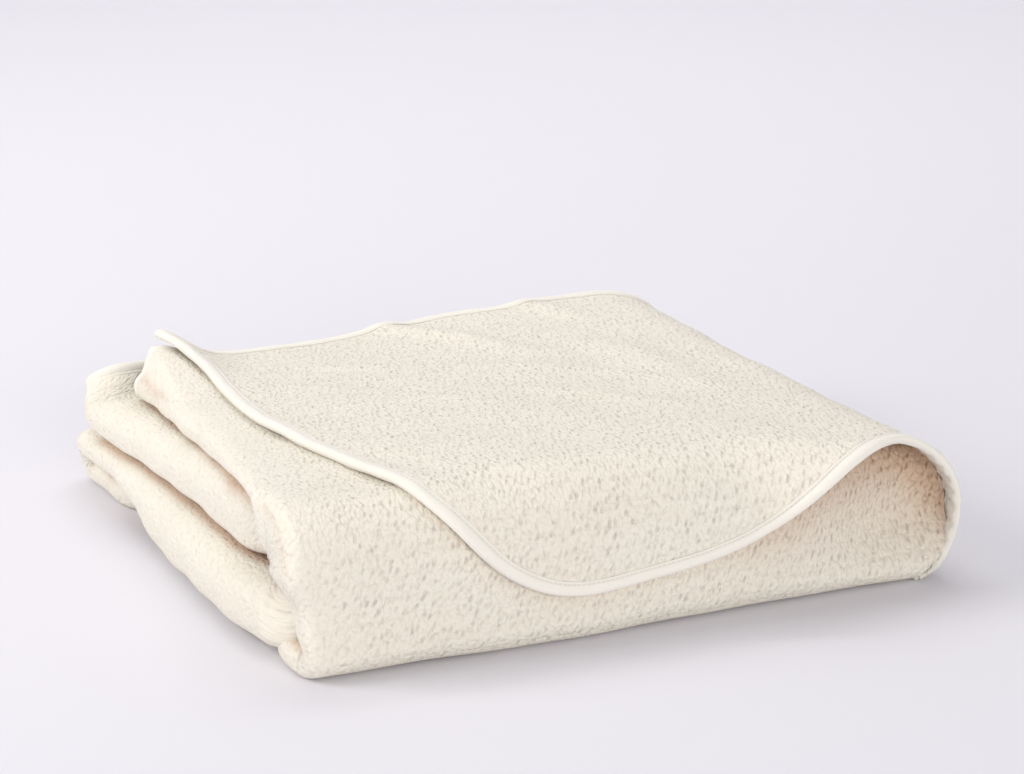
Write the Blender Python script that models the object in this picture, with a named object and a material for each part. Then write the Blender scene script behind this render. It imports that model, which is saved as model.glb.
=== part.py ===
"""A throw blanket as it lies folded: one cloth, bound all round with a narrow tape.

The blanket is first folded in three across, which makes a long strip with its folds at the left and
right. The strip then goes from the back over the top, down the front, back along the bottom, forward
again and back once more. Its last width comes up round the right side and lies over the top as a loose
flap, whose front left corner hangs over the front.

Metres, with Z up. X runs along the front to the right and Y runs to the back.
"""

import math

import bmesh
import bpy
import numpy as np
from mathutils import Vector

COLLECTION = "folded_throw_blanket"

# Cloth and tape
CLOTH = 0.003  # thickness of one layer of cloth
TAPE = 0.001  # thickness of the binding tape
TAPE_WIDTH = 0.008  # how far the tape laps over the cloth
AIR = 0.0008  # space between the tape and the cloth
REST = 0.0030  # space between the pile and the flap that lies on it
TAPE_LOWEST = 0.0045  # the tape stops where the cloth's middle comes this near the floor
TAPED_FROM = 2  # places across the strip between which its ends carry tape
TAPED_TO = 26

# The strip: where its middle runs, seen from the left side. half is half of the strip's thickness, left
# and right are where its folds end, nose is how deep the left fold's curve is, and droop is how far that
# fold sags below the strip.
# columns: y, z, half, left, right, nose, droop
TOP_RUN = (
    (0.374, 0.0785, 0.0093, 0.017, 0.384, 0.010, 0.0),
    (0.290, 0.0830, 0.0088, 0.010, 0.384, 0.010, 0.0),
    (0.200, 0.0873, 0.0090, 0.004, 0.384, 0.010, 0.0),
    (0.110, 0.0915, 0.0090, -0.006, 0.384, 0.010, 0.0),
    (0.030, 0.0955, 0.0085, -0.016, 0.384, 0.010, 0.0),
)
SPINE_RUN = (
    (-0.002, 0.064, 0.0080, -0.018, 0.424, 0.010, 0.0),
    (-0.002, 0.044, 0.0078, -0.009, 0.427, 0.008, 0.0),
    (-0.002, 0.0195, 0.0085, -0.004, 0.416, 0.008, 0.0),
)
BOTTOM_RUN = (
    (0.008, 0.0095, 0.0095, -0.006, 0.404, 0.009, 0.0),
    (0.030, 0.0095, 0.0095, 0.001, 0.404, 0.009, 0.0),
    (0.054, 0.0095, 0.0095, 0.020, 0.404, 0.009, 0.0),
    (0.110, 0.0095, 0.0095, 0.028, 0.404, 0.009, 0.0),
    (0.180, 0.0095, 0.0095, 0.030, 0.404, 0.009, 0.0),
    (0.250, 0.0095, 0.0095, 0.028, 0.404, 0.009, 0.0),
    (0.300, 0.0095, 0.0095, 0.016, 0.404, 0.009, 0.0),
    (0.345, 0.0095, 0.0095, -0.004, 0.404, 0.009, 0.0),
    (0.402, 0.0095, 0.0095, -0.008, 0.404, 0.010, 0.0),
)
LOWER_RUN = (
    (0.402, 0.0318, 0.0105, -0.017, 0.418, 0.012, 0.0),
    (0.340, 0.0318, 0.0103, -0.014, 0.420, 0.010, 0.0),
    (0.290, 0.0322, 0.0103, -0.016, 0.420, 0.010, 0.004),
    (0.240, 0.0330, 0.0110, -0.018, 0.420, 0.012, 0.018),
    (0.150, 0.0325, 0.0110, -0.020, 0.420, 0.012, 0.018),
    (0.085, 0.0330, 0.0110, -0.019, 0.420, 0.011, 0.018),
    (0.046, 0.0355, 0.0125, -0.011, 0.420, 0.010, 0.010),
)
UPPER_RUN = (
    (0.046, 0.0640, 0.0138, -0.001, 0.416, 0.012, 0.0),
    (0.125, 0.0610, 0.0165, -0.006, 0.416, 0.014, 0.0),
    (0.215, 0.0610, 0.0140, -0.007, 0.416, 0.012, 0.0),
    (0.300, 0.0580, 0.0135, -0.009, 0.416, 0.012, 0.0),
    (0.365, 0.0545, 0.0110, -0.012, 0.414, 0.012, 0.0),
    (0.393, 0.0600, 0.0108, -0.014, 0.406, 0.018, 0.0),
    (0.412, 0.0795, 0.0110, -0.014, 0.396, 0.024, 0.0),
)
LIP_Z = (0.012, 0.088)  # the front layer's right end turns out into the curl between these heights
LIP = 0.016
LIP_REACH = 0.028
ACROSS = (0.345, 0.270, 0.210, 0.150, 0.095)  # places across an outer layer
INSIDE = (0.150, 0.270)  # places across an inner layer
RUN_STEP = 0.048  # most between two sections of a flat run
SPINE_STEP = 0.009  # most between two sections of the front
TURN_STEP = math.radians(24)  # most between two sections of a turn

# How high the flap's top lies, over the plan. columns: the four places along x, rows: along y
PLAN_X = (0.030, 0.150, 0.270, 0.375)
PLAN_Y = (0.020, 0.140, 0.260, 0.390)
HEIGHTS = (
    (0.108, 0.109, 0.106, 0.100),
    (0.106, 0.105, 0.102, 0.097),
    (0.100, 0.099, 0.099, 0.096),
    (0.090, 0.087, 0.094, 0.097),
)
FRONT_BULGE = 0.004  # how far the front stands out in its middle
BULGE_X = 0.160
BULGE_REACH = 0.110
DISH = 0.018  # how far the front draws back at its right end
DISH_X = (0.315, 0.410)

# The flap round the right side
CURL_X = 0.375  # where the top starts to bend down
CURL_OUT = 0.437  # furthest right
CURL_Z = 0.050  # height of that place
FOOT_X = 0.408  # where it meets the bottom layer
FOOT_Z = 0.0018
TAIL_END = 0.384  # how far it runs on inside the bottom layer
TAIL_CLOTH = 0.0018  # its thickness there
FREE_X = (0.270, 0.395)  # along here the front edge stops following the front and stands out freely
FREE_EDGE = 0.045

# The flap's outline, laid flat. x runs along the top and on round the curl, y from front to back
# columns: x, y
LEFT_EDGE = (
    (0.027, 0.386),
    (0.041, 0.341),
    (0.040, 0.300),
    (0.036, 0.241),
    (0.036, 0.188),
    (0.043, 0.120),
    (0.054, 0.062),
    (0.068, 0.012),
    (0.091, -0.024),
    (0.115, -0.049),
    (0.140, -0.064),
)
FRONT_EDGE = (
    (0.140, -0.064),
    (0.165, -0.069),
    (0.200, -0.067),
    (0.250, -0.060),
    (0.304, -0.044),
    (0.352, -0.024),
    (0.391, -0.008),
    (0.430, -0.004),
    (0.520, -0.002),
)
BACK_EDGE = (
    (0.520, 0.398),
    (0.430, 0.398),
    (0.350, 0.400),
    (0.300, 0.394),
    (0.240, 0.398),
    (0.180, 0.391),
    (0.110, 0.386),
    (0.060, 0.384),
    (0.027, 0.386),
)
CORNER_LIFT = 0.022  # how far the back left corner stands up off the pile
FLAP_COLUMNS = 31
FLAP_ROWS = 23
ROW_CROWDING = 1.2  # above 1, the flap's rows lie closer towards the front


def step01(t):
    """0 to 1 with a soft start and end."""
    t = min(max(t, 0.0), 1.0)
    return t * t * (3 - 2 * t)


def soft_curve(points, count, crowding=1.0):
    """count points along a smooth curve through the given ones, evenly spaced or closer to its end."""
    p = np.array(points, float)
    p = np.vstack([2 * p[0] - p[1], p, 2 * p[-1] - p[-2]])
    fine = []
    for i in range(1, len(p) - 2):
        for t in np.linspace(0, 1, 12, endpoint=False):
            a = 2 * p[i]
            b = (p[i + 1] - p[i - 1]) * t
            c = (2 * p[i - 1] - 5 * p[i] + 4 * p[i + 1] - p[i + 2]) * t**2
            d = (3 * p[i] - p[i - 1] - 3 * p[i + 1] + p[i + 2]) * t**3
            fine.append((a + b + c + d) / 2)
    fine.append(p[-2])
    fine = np.array(fine)
    along = np.concatenate([[0], np.cumsum(np.linalg.norm(np.diff(fine, axis=0), axis=1))])
    at = along[-1] * (1 - np.linspace(1, 0, count) ** crowding)
    return np.stack([np.interp(at, along, fine[:, k]) for k in range(fine.shape[1])], 1)


def run_sections(rows, heading, step=RUN_STEP):
    """Sections along one run of the strip: its columns, then the heading's y and z."""
    length = abs(rows[-1][0] - rows[0][0]) + abs(rows[-1][1] - rows[0][1])
    count = math.ceil(length / step) + 1
    points = soft_curve(rows, count)
    out = []
    for i, point in enumerate(points):
        if 0 < i < count - 1:
            along = points[i + 1][:2] - points[i - 1][:2]
            along = along / np.linalg.norm(along)
        else:
            along = np.array(heading, float)
        out.append(np.array((*point, *along)))
    return out


def turn_sections(before, after, centre, side):
    """Sections between two runs, on the arc centre + (before - centre) cos a + side sin a."""
    start = before[:2] - centre
    side = np.array(side, float)
    end = after[:2] - centre
    sweep = math.pi if abs(np.dot(start, end)) > 0.5 * np.dot(start, start) else math.pi / 2
    count = math.ceil(sweep / TURN_STEP)
    out = []
    for i in range(1, count):
        angle = sweep * i / count
        place = centre + start * math.cos(angle) + side * math.sin(angle)
        along = -start * math.sin(angle) + side * math.cos(angle)
        along = along / np.linalg.norm(along)
        share = i / count
        shape = before[2:-2] * (1 - share) + after[2:-2] * share
        out.append(np.array((*place, *shape, *along)))
    return out


def hemmed(sections):
    """Add a section where the tape at each end of the strip stops."""
    first, second = sections[0], sections[1]
    share = TAPE_WIDTH / np.linalg.norm(second[:2] - first[:2])
    near_start = first * (1 - share) + second * share
    last, before = sections[-1], sections[-2]
    share = TAPE_WIDTH / np.linalg.norm(before[:2] - last[:2])
    near_end = last * (1 - share) + before * share
    return [first, near_start, *sections[1:-1], near_end, last]


def strip_sections():
    """All sections of the strip, from its end at the top to its end inside."""
    top = run_sections(TOP_RUN, (-1, 0))
    spine = run_sections(SPINE_RUN, (0, -1), SPINE_STEP)
    bottom = run_sections(BOTTOM_RUN, (1, 0))
    lower = run_sections(LOWER_RUN, (-1, 0))
    upper = run_sections(UPPER_RUN, (1, 0))
    last = np.array(UPPER_RUN[-1][:2]) - np.array(UPPER_RUN[-2][:2])
    last = last / np.linalg.norm(last)
    upper[-1][-2:] = last
    out = list(top)
    centre = np.array((top[-1][0], spine[0][1]))
    out += turn_sections(top[-1], spine[0], centre, np.array(spine[0][:2]) - centre)
    out += spine
    centre = np.array((bottom[0][0], spine[-1][1]))
    out += turn_sections(spine[-1], bottom[0], centre, np.array(bottom[0][:2]) - centre)
    out += bottom
    radius = (lower[0][1] - bottom[-1][1]) / 2
    centre = np.array((bottom[-1][0], bottom[-1][1] + radius))
    out += turn_sections(bottom[-1], lower[0], centre, (radius, 0))
    out += lower
    radius = (upper[0][1] - lower[-1][1]) / 2
    centre = np.array((lower[-1][0], lower[-1][1] + radius))
    out += turn_sections(lower[-1], upper[0], centre, (-radius, 0))
    out += upper
    return hemmed(out)


def fold_path(section):
    """The cloth's middle line across the strip: (x, offset from the strip's middle), folded in three."""
    _, z, half, left, right, nose, droop, _, along_z = section
    reach = half - CLOTH / 2
    start = left + CLOTH / 2 + nose
    near = [start + 0.010, start + 0.022, start + 0.036]
    lip = 0.0
    if along_z < -0.7:
        lip = LIP * step01((z - LIP_Z[0]) / 0.028) * step01((LIP_Z[1] - z) / 0.028)
    path = []
    for share in (1.0, 0.8, 0.5, 0.0):
        path.append((right - LIP_REACH * (1 - share), -reach - lip * share**2))
    path += [(x, -reach) for x in ACROSS]
    path += [(x, -reach) for x in reversed(near)]
    for i in range(8):
        angle = math.pi * i / 7
        path.append((start - nose * math.sin(angle), droop / 2 - (reach + droop / 2) * math.cos(angle)))
    inner = reach / 2
    stop = right - CLOTH / 2 - inner
    for x in (*near, *INSIDE, stop):
        path.append((x, reach + droop * (1 - step01((x - start - 0.003) / 0.021))))
    for i in range(1, 3):
        angle = math.pi * i / 3
        path.append((stop + inner * math.sin(angle), inner + inner * math.cos(angle)))
    path += [(x, 0.0) for x in (stop, *reversed(INSIDE), start + 0.012)]
    return np.array(path)


def normals_2d(path):
    """Sideways directions at each point of a line."""
    steps = np.diff(path, axis=0)
    steps /= np.linalg.norm(steps, axis=1)[:, None]
    along = np.vstack([steps[:1], steps[:-1] + steps[1:], steps[-1:]])
    along /= np.linalg.norm(along, axis=1)[:, None]
    return np.stack([-along[:, 1], along[:, 0]], 1)


def height_at(x, y):
    """Height of the flap's top over the plan, from the HEIGHTS table."""
    rows = [np.interp(x, PLAN_X, row) for row in HEIGHTS]
    return float(np.interp(y, PLAN_Y, rows))


def plain_top(y):
    """Height of the flap's top over the strip as its tables give it."""
    ys = [row[0] for row in reversed(TOP_RUN)]
    tops = [row[1] + row[2] for row in reversed(TOP_RUN)]
    return float(np.interp(y, ys, tops)) + REST + CLOTH


def settle(p):
    """Let the plain pile sag and bulge: a new place for one point."""
    x, y, z = p
    z *= height_at(x, y) / plain_top(y)
    bulge = math.exp(-(((x - BULGE_X) / BULGE_REACH) ** 2))
    y -= FRONT_BULGE * bulge * (1 - step01(y / 0.12))
    return np.array((x, y, z))


def strip_point(section, x, offset):
    """The point of the strip at x, offset from its middle at one section."""
    y, z = section[:2]
    along_y, along_z = section[-2:]
    y -= along_z * offset
    z += along_y * offset
    back = DISH * step01((x - DISH_X[0]) / (DISH_X[1] - DISH_X[0]))
    y += back * step01((z - 0.004) / 0.035) * (1 - step01(y / 0.09))
    return settle((x, y, z))


def curl_section(x, top):
    """The flap's line round the right side: place (x, z) and outward normal for a flat x."""
    if x <= CURL_X:
        return x, top, 0.0, 1.0
    out, rise = CURL_OUT - CURL_X, top - CURL_Z
    low_out, low_rise = CURL_OUT - FOOT_X, CURL_Z - FOOT_Z
    upper = math.pi / 2 * math.sqrt((out**2 + rise**2) / 2)
    lower = math.pi / 2 * math.sqrt((low_out**2 + low_rise**2) / 2)
    along = x - CURL_X
    if along <= upper:
        angle = math.pi / 2 * along / upper
        normal = np.array((rise * math.sin(angle), out * math.cos(angle)))
        normal /= np.linalg.norm(normal)
        return CURL_X + out * math.sin(angle), CURL_Z + rise * math.cos(angle), *normal
    along -= upper
    if along <= lower:
        angle = math.pi / 2 * along / lower
        normal = np.array((low_rise * math.cos(angle), -low_out * math.sin(angle)))
        normal /= np.linalg.norm(normal)
        return FOOT_X + low_out * math.cos(angle), CURL_Z - low_rise * math.sin(angle), *normal
    return FOOT_X - (along - lower), FOOT_Z, 0.0, -1.0


def foot_flat_x():
    """Flat x at which the curl meets the bottom layer."""
    top = plain_top(0.2) - CLOTH / 2
    out, rise = CURL_OUT - CURL_X, top - CURL_Z
    low_out, low_rise = CURL_OUT - FOOT_X, CURL_Z - FOOT_Z
    upper = math.pi / 2 * math.sqrt((out**2 + rise**2) / 2)
    lower = math.pi / 2 * math.sqrt((low_out**2 + low_rise**2) / 2)
    return CURL_X + upper + lower


def flap_middle(x, y):
    """The middle of the flap's cloth, for a place on the flap laid flat."""
    forward = FREE_EDGE * step01((x - FREE_X[0]) / (FREE_X[1] - FREE_X[0]))
    centre_y = TOP_RUN[-1][0] - forward
    radius = TOP_RUN[-1][0] - SPINE_RUN[0][0] + SPINE_RUN[0][2] + REST + CLOTH / 2
    drop = 0.0
    if y < centre_y:
        angle = (centre_y - y) / radius
        if angle < math.pi / 2:
            y_out = centre_y - radius * math.sin(angle)
            drop = radius * (1 - math.cos(angle))
        else:
            y_out = centre_y - radius
            drop = radius + (centre_y - radius * math.pi / 2) - y
    else:
        y_out = y
    top = plain_top(max(y_out, 0.0)) - CLOTH / 2
    px, pz, nx, nz = curl_section(x, top)
    lift = CORNER_LIFT * math.exp(-(((x - 0.03) / 0.035) ** 2)) * step01((y - 0.20) / 0.15)
    return settle((px - nx * drop, y_out, pz - nz * drop + lift))


def flap_point(x, y, offset):
    """The point of the flap that lies offset above the middle of its cloth."""
    d = 0.0005
    along_x = flap_middle(x + d, y) - flap_middle(x - d, y)
    along_y = flap_middle(x, y + d) - flap_middle(x, y - d)
    normal = np.cross(along_x, along_y)
    return flap_middle(x, y) + normal / np.linalg.norm(normal) * offset


def flap_outline():
    """The flap's bound edges as one line, from the back round the left to the front."""
    foot = foot_flat_x()
    back = [(foot if x > 0.5 else x, y) for x, y in BACK_EDGE]
    front = [(foot if x > 0.5 else x, y) for x, y in FRONT_EDGE]
    back = soft_curve(back, FLAP_COLUMNS)
    left = soft_curve(LEFT_EDGE, FLAP_ROWS, ROW_CROWDING)
    front = soft_curve(front, FLAP_COLUMNS)
    return np.vstack([back[:-1], left[:-1], front])


def inset(line, depth):
    """The same line moved into the flap."""
    return line + normals_2d(line) * depth


def coons(back, left, front, right):
    """A grid of flat places between four border lines, rows from back to front."""
    rows, columns = len(left), len(back)
    grid = np.zeros((rows, columns, 2))
    for r in range(rows):
        v = r / (rows - 1)
        for c in range(columns):
            u = c / (columns - 1)
            across = (1 - u) * left[r] + u * right[r]
            along = (1 - v) * back[c] + v * front[c]
            corners = (1 - u) * (1 - v) * back[0] + u * (1 - v) * back[-1]
            corners = corners + (1 - u) * v * front[0] + u * v * front[-1]
            grid[r, c] = across + along - corners
    return grid


def mesh_object(name, mesh, material, collection):
    mesh.normal_update()
    bmesh.ops.recalc_face_normals(mesh, faces=mesh.faces)
    data = bpy.data.meshes.new(name)
    mesh.to_mesh(data)
    mesh.free()
    data.materials.append(material)
    obj = bpy.data.objects.new(name, data)
    collection.objects.link(obj)
    return obj


def loft(name, rings, material, collection):
    """A closed solid through rings of points, with its two ends capped."""
    mesh = bmesh.new()
    rows = [[mesh.verts.new(p) for p in ring] for ring in rings]
    size = len(rows[0])
    for a, b in zip(rows, rows[1:]):
        for i in range(size):
            j = (i + 1) % size
            mesh.faces.new((a[i], a[j], b[j], b[i]))
    half = size // 2
    for row, turned in ((rows[0], False), (rows[-1], True)):
        for i in range(half - 1):
            corners = (row[i], row[i + 1], row[size - 2 - i], row[size - 1 - i])
            mesh.faces.new(corners[::-1] if not turned else corners)
    return mesh_object(name, mesh, material, collection)


def make_strip(material, collection):
    """The blanket folded in three across and laid back and forth."""
    rings = []
    for section in strip_sections():
        path = fold_path(section)
        side = normals_2d(path) * CLOTH / 2
        ring = np.vstack([path + side, (path - side)[::-1]])
        rings.append([strip_point(section, x, w) for x, w in ring])
    return loft("strip", rings, material, collection)


def make_flap(material, collection):
    """The loose flap that comes up round the right side and lies over the top."""
    outline = flap_outline()
    inner = inset(outline, TAPE_WIDTH)
    back = inner[:FLAP_COLUMNS][::-1]
    left = inner[FLAP_COLUMNS - 1 : FLAP_COLUMNS + FLAP_ROWS - 1]
    front = inner[FLAP_COLUMNS + FLAP_ROWS - 2 :]
    right = soft_curve((back[-1], front[-1]), FLAP_ROWS, ROW_CROWDING)
    grid = coons(back, left, front, right)
    tail = []
    for r, (x, y) in enumerate(right):
        deep = (FOOT_X - TAIL_END) * step01((y - 0.010) / 0.025) * step01((0.398 - y) / 0.010)
        tail.append((x + max(deep, 0.004), y))
    mesh = bmesh.new()
    layers = []
    for sign in (1, -1):
        half = sign * CLOTH / 2
        middle = [[mesh.verts.new(flap_point(x, y, half)) for x, y in row] for row in grid]
        edge = [mesh.verts.new(flap_point(x, y, half)) for x, y in outline]
        end = [mesh.verts.new(flap_point(x, y, sign * TAIL_CLOTH / 2)) for x, y in tail]
        layers.append((middle, edge, end))
        faces = []
        for r in range(FLAP_ROWS - 1):
            for c in range(FLAP_COLUMNS - 1):
                m = middle
                faces.append((m[r][c], m[r + 1][c], m[r + 1][c + 1], m[r][c + 1]))
            faces.append((middle[r][-1], middle[r + 1][-1], end[r + 1], end[r]))
        rim = [middle[0][c] for c in range(FLAP_COLUMNS - 1, 0, -1)]
        rim += [middle[r][0] for r in range(FLAP_ROWS)]
        rim += [middle[-1][c] for c in range(1, FLAP_COLUMNS)]
        for i in range(len(rim) - 1):
            faces.append((rim[i], edge[i], edge[i + 1]))
            faces.append((rim[i], edge[i + 1], rim[i + 1]))
        faces.append((rim[0], end[0], edge[0]))
        faces.append((rim[-1], edge[-1], end[-1]))
        for face in faces:
            mesh.faces.new(face)
    border_top = [layers[0][2][0], *layers[0][1], layers[0][2][-1]] + layers[0][2][-2:0:-1]
    border_low = [layers[1][2][0], *layers[1][1], layers[1][2][-1]] + layers[1][2][-2:0:-1]
    count = len(border_top)
    for i in range(count):
        j = (i + 1) % count
        mesh.faces.new((border_top[i], border_top[j], border_low[j], border_low[i]))
    return mesh_object("flap", mesh, material, collection)


def flap_tape(material, collection):
    """The binding round the flap's back, left and front edges."""
    outline = flap_outline()
    inner = inset(outline, TAPE_WIDTH)
    beyond_in = inset(outline, -AIR)
    beyond_out = inset(outline, -AIR - TAPE)
    near = CLOTH / 2 + AIR
    far = near + TAPE
    rings = []
    for place, cut, inside, outside in zip(outline, inner, beyond_in, beyond_out):
        if flap_middle(*place)[2] < TAPE_LOWEST:
            continue
        ring = [
            flap_point(*cut, far),
            flap_point(*place, far),
            flap_point(*outside, 0.7 * far),
            flap_point(*outside, -0.7 * far),
            flap_point(*place, -far),
            flap_point(*cut, -far),
            flap_point(*cut, -near),
            flap_point(*inside, -near),
            flap_point(*inside, near),
            flap_point(*cut, near),
        ]
        rings.append(ring)
    return channel(name="flap_binding", rings=rings, material=material, collection=collection)


def strip_tape(name, end, before, material, collection):
    """The binding over one end of the strip, round its outer layers."""
    heading = end[:2] - before[:2]
    heading = heading / np.linalg.norm(heading)
    inside, outside = end.copy(), end.copy()
    inside[:2] += heading * AIR
    outside[:2] += heading * (AIR + TAPE)
    near = CLOTH / 2 + AIR
    far = near + TAPE
    rings = []
    parts = {"cut": before, "end": end, "inside": inside, "outside": outside}
    lines = {key: fold_path(section) for key, section in parts.items()}
    sides = {key: normals_2d(line) for key, line in lines.items()}

    def at(key, i, offset):
        x, w = lines[key][i] + sides[key][i] * offset
        return strip_point(parts[key], x, w)

    for i in range(TAPED_FROM, TAPED_TO):
        ring = [
            at("cut", i, far),
            at("end", i, far),
            at("outside", i, 0.7 * far),
            at("outside", i, -0.7 * far),
            at("end", i, -far),
            at("cut", i, -far),
            at("cut", i, -near),
            at("inside", i, -near),
            at("inside", i, near),
            at("cut", i, near),
        ]
        rings.append(ring)
    return channel(name=name, rings=rings, material=material, collection=collection)


def channel(name, rings, material, collection):
    """A closed U-shaped solid through rings of ten points, five outside and five inside."""
    mesh = bmesh.new()
    rows = [[mesh.verts.new(p) for p in ring] for ring in rings]
    for a, b in zip(rows, rows[1:]):
        for i in range(10):
            j = (i + 1) % 10
            if i in (4, 8):
                mesh.faces.new((a[i], a[j], b[i]))
                mesh.faces.new((a[j], b[j], b[i]))
            else:
                mesh.faces.new((a[i], a[j], b[j]))
                mesh.faces.new((a[i], b[j], b[i]))
    for row in (rows[0], rows[-1]):
        mesh.faces.new((row[9], row[0], row[1], row[8]))
        mesh.faces.new((row[8], row[1], row[2]))
        mesh.faces.new((row[8], row[2], row[3], row[7]))
        mesh.faces.new((row[7], row[3], row[4]))
        mesh.faces.new((row[7], row[4], row[5], row[6]))
    return mesh_object(name, mesh, material, collection)


def plain_material(name, colour, roughness):
    material = bpy.data.materials.new(name)
    material.use_nodes = True
    shader = material.node_tree.nodes["Principled BSDF"]
    shader.inputs["Base Color"].default_value = (*colour, 1)
    shader.inputs["Roughness"].default_value = roughness
    shader.inputs["Metallic"].default_value = 0.0
    return material


def join_cloth(strip, flap):
    """Make the strip and its flap one cloth."""
    join = strip.modifiers.new("join", "BOOLEAN")
    join.operation = "UNION"
    join.solver = "EXACT"
    join.object = flap
    seen = bpy.context.evaluated_depsgraph_get()
    data = bpy.data.meshes.new_from_object(strip.evaluated_get(seen))
    cloth = bpy.data.objects.new("cloth", data)
    strip.users_collection[0].objects.link(cloth)
    for obj in (strip, flap):
        bpy.data.objects.remove(obj)
    return cloth


def centre_on_floor(objects):
    """Move the whole part so that its box stands centred on the origin, its lowest point on the floor."""
    places = np.array([v.co for obj in objects for v in obj.data.vertices])
    low, high = places.min(0), places.max(0)
    shift = np.array(((low[0] + high[0]) / 2, (low[1] + high[1]) / 2, low[2]))
    for obj in objects:
        for v in obj.data.vertices:
            v.co -= Vector(shift)
        obj.data.update()
    print("moved by", shift, "size", high - low)


def main():
    for obj in list(bpy.data.objects):
        bpy.data.objects.remove(obj)
    collection = bpy.data.collections.new(COLLECTION)
    bpy.context.scene.collection.children.link(collection)
    cream = plain_material("cream_cloth", (0.84, 0.79, 0.70), 0.95)
    ivory = plain_material("ivory_tape", (0.88, 0.85, 0.77), 0.8)
    sections = strip_sections()
    strip = make_strip(cream, collection)
    flap = make_flap(cream, collection)
    cloth = join_cloth(strip, flap)
    tapes = [
        flap_tape(ivory, collection),
        strip_tape("top_end_binding", sections[0], sections[1], ivory, collection),
        strip_tape("inner_end_binding", sections[-1], sections[-2], ivory, collection),
    ]
    centre_on_floor([cloth, *tapes])


main()
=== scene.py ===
# %% [markdown]
# # A folded throw blanket
#
# This lesson dresses a plain, exact model of a folded throw. The real one is a single cream cloth with a
# pebbled weave, bound round its edge with a narrow smooth tape. It has been folded in three across, laid
# back and forth, and its last width comes up round the right side and lies loose over the top.
#
# The plain model gives the size and the place of everything. It is loaded first and is never moved: each
# piece made here stands in for one of its parts.

# %% Load the plain model
import math

import bpy
import numpy as np
from mathutils import Matrix, Vector


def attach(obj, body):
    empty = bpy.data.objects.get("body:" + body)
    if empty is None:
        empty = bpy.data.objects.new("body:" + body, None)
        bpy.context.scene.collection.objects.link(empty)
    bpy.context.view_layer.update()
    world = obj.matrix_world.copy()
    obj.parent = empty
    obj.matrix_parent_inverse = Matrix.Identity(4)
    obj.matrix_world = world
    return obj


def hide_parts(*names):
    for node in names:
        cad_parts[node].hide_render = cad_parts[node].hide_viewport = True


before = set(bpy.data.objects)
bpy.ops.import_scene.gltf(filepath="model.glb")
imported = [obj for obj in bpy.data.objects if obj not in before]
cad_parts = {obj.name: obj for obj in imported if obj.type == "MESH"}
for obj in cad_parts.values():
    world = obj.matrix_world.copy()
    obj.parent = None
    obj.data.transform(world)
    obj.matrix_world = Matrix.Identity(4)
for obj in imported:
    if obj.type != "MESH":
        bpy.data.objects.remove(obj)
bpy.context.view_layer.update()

print("plain parts:", sorted(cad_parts))

# %% [markdown]
# ## Where things are
#
# The folds are easiest to think about from the pile's near corner on the floor, so all the tables below use
# that corner as zero: x to the right along the front, y to the back, z up. The plain model is centred
# on its own box, so every finished point is moved by the same amount at the end.

# %% Near corner and cloth
NEAR_CORNER = np.array((-0.21024, -0.19636, 0.0))
CLOTH = 0.003
REST = 0.003  # space between the pile and the loose flap that lies on it

# %% [markdown]
# ## The pile's shape, as tables
#
# The strip of folded cloth is described by the line that its middle follows, seen from the left. A few rows
# a run are enough, because a smooth curve is drawn through them. Each row also says how thick the strip is
# there and where its left and right folds end, which is what makes the left side of the pile uneven.

# %% Tables of the strip
# columns: y, z, half of the thickness, left end, right end, depth of the left fold,
# and how far that fold's inner side sags
TOP_RUN = (
    (0.374, 0.0785, 0.0093, 0.017, 0.384, 0.012, 0.0),
    (0.290, 0.0830, 0.0088, 0.010, 0.384, 0.013, 0.0),
    (0.200, 0.0873, 0.0090, 0.004, 0.384, 0.013, 0.0),
    (0.150, 0.0907, 0.0077, -0.001, 0.384, 0.011, 0.0),
    (0.110, 0.0950, 0.0055, -0.006, 0.384, 0.009, 0.0),
    (0.075, 0.0967, 0.0055, -0.010, 0.384, 0.009, 0.0),
    (0.062, 0.0974, 0.0055, -0.012, 0.384, 0.009, 0.0),
    (0.048, 0.0979, 0.0055, -0.014, 0.384, 0.010, 0.020),
    (0.030, 0.0985, 0.0055, -0.016, 0.384, 0.010, 0.028),
)
SPINE_RUN = (
    (-0.002, 0.064, 0.0080, -0.018, 0.424, 0.010, 0.024),
    (-0.002, 0.044, 0.0078, -0.009, 0.427, 0.008, 0.016),
    (-0.002, 0.0195, 0.0085, -0.005, 0.416, 0.008, 0.001),
)
BOTTOM_HALF = 0.0095
# columns: y, left end, depth of the left fold
BOTTOM_LEFT = (
    (0.008, -0.007, 0.010), (0.030, -0.007, 0.010), (0.050, -0.004, 0.010), (0.070, 0.010, 0.010),
    (0.090, 0.023, 0.009), (0.115, 0.028, 0.009), (0.180, 0.030, 0.009), (0.250, 0.028, 0.009),
    (0.300, 0.016, 0.009), (0.345, -0.004, 0.009), (0.402, -0.008, 0.010),
)
BOTTOM_RUN = [(y, BOTTOM_HALF, BOTTOM_HALF, left, 0.404, nose, 0.0) for y, left, nose in BOTTOM_LEFT]
LOWER_RUN = (
    (0.402, 0.0318, 0.0105, -0.017, 0.418, 0.014, 0.0),
    (0.340, 0.0318, 0.0103, -0.014, 0.420, 0.014, 0.0),
    (0.290, 0.0322, 0.0103, -0.016, 0.420, 0.015, 0.004),
    (0.240, 0.0330, 0.0110, -0.018, 0.420, 0.019, 0.018),
    (0.150, 0.0325, 0.0110, -0.020, 0.420, 0.021, 0.018),
    (0.090, 0.0330, 0.0110, -0.020, 0.420, 0.020, 0.017),
    (0.068, 0.0335, 0.0118, -0.019, 0.420, 0.019, 0.016),
    (0.046, 0.0345, 0.0130, -0.015, 0.420, 0.017, 0.016),
)
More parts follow.
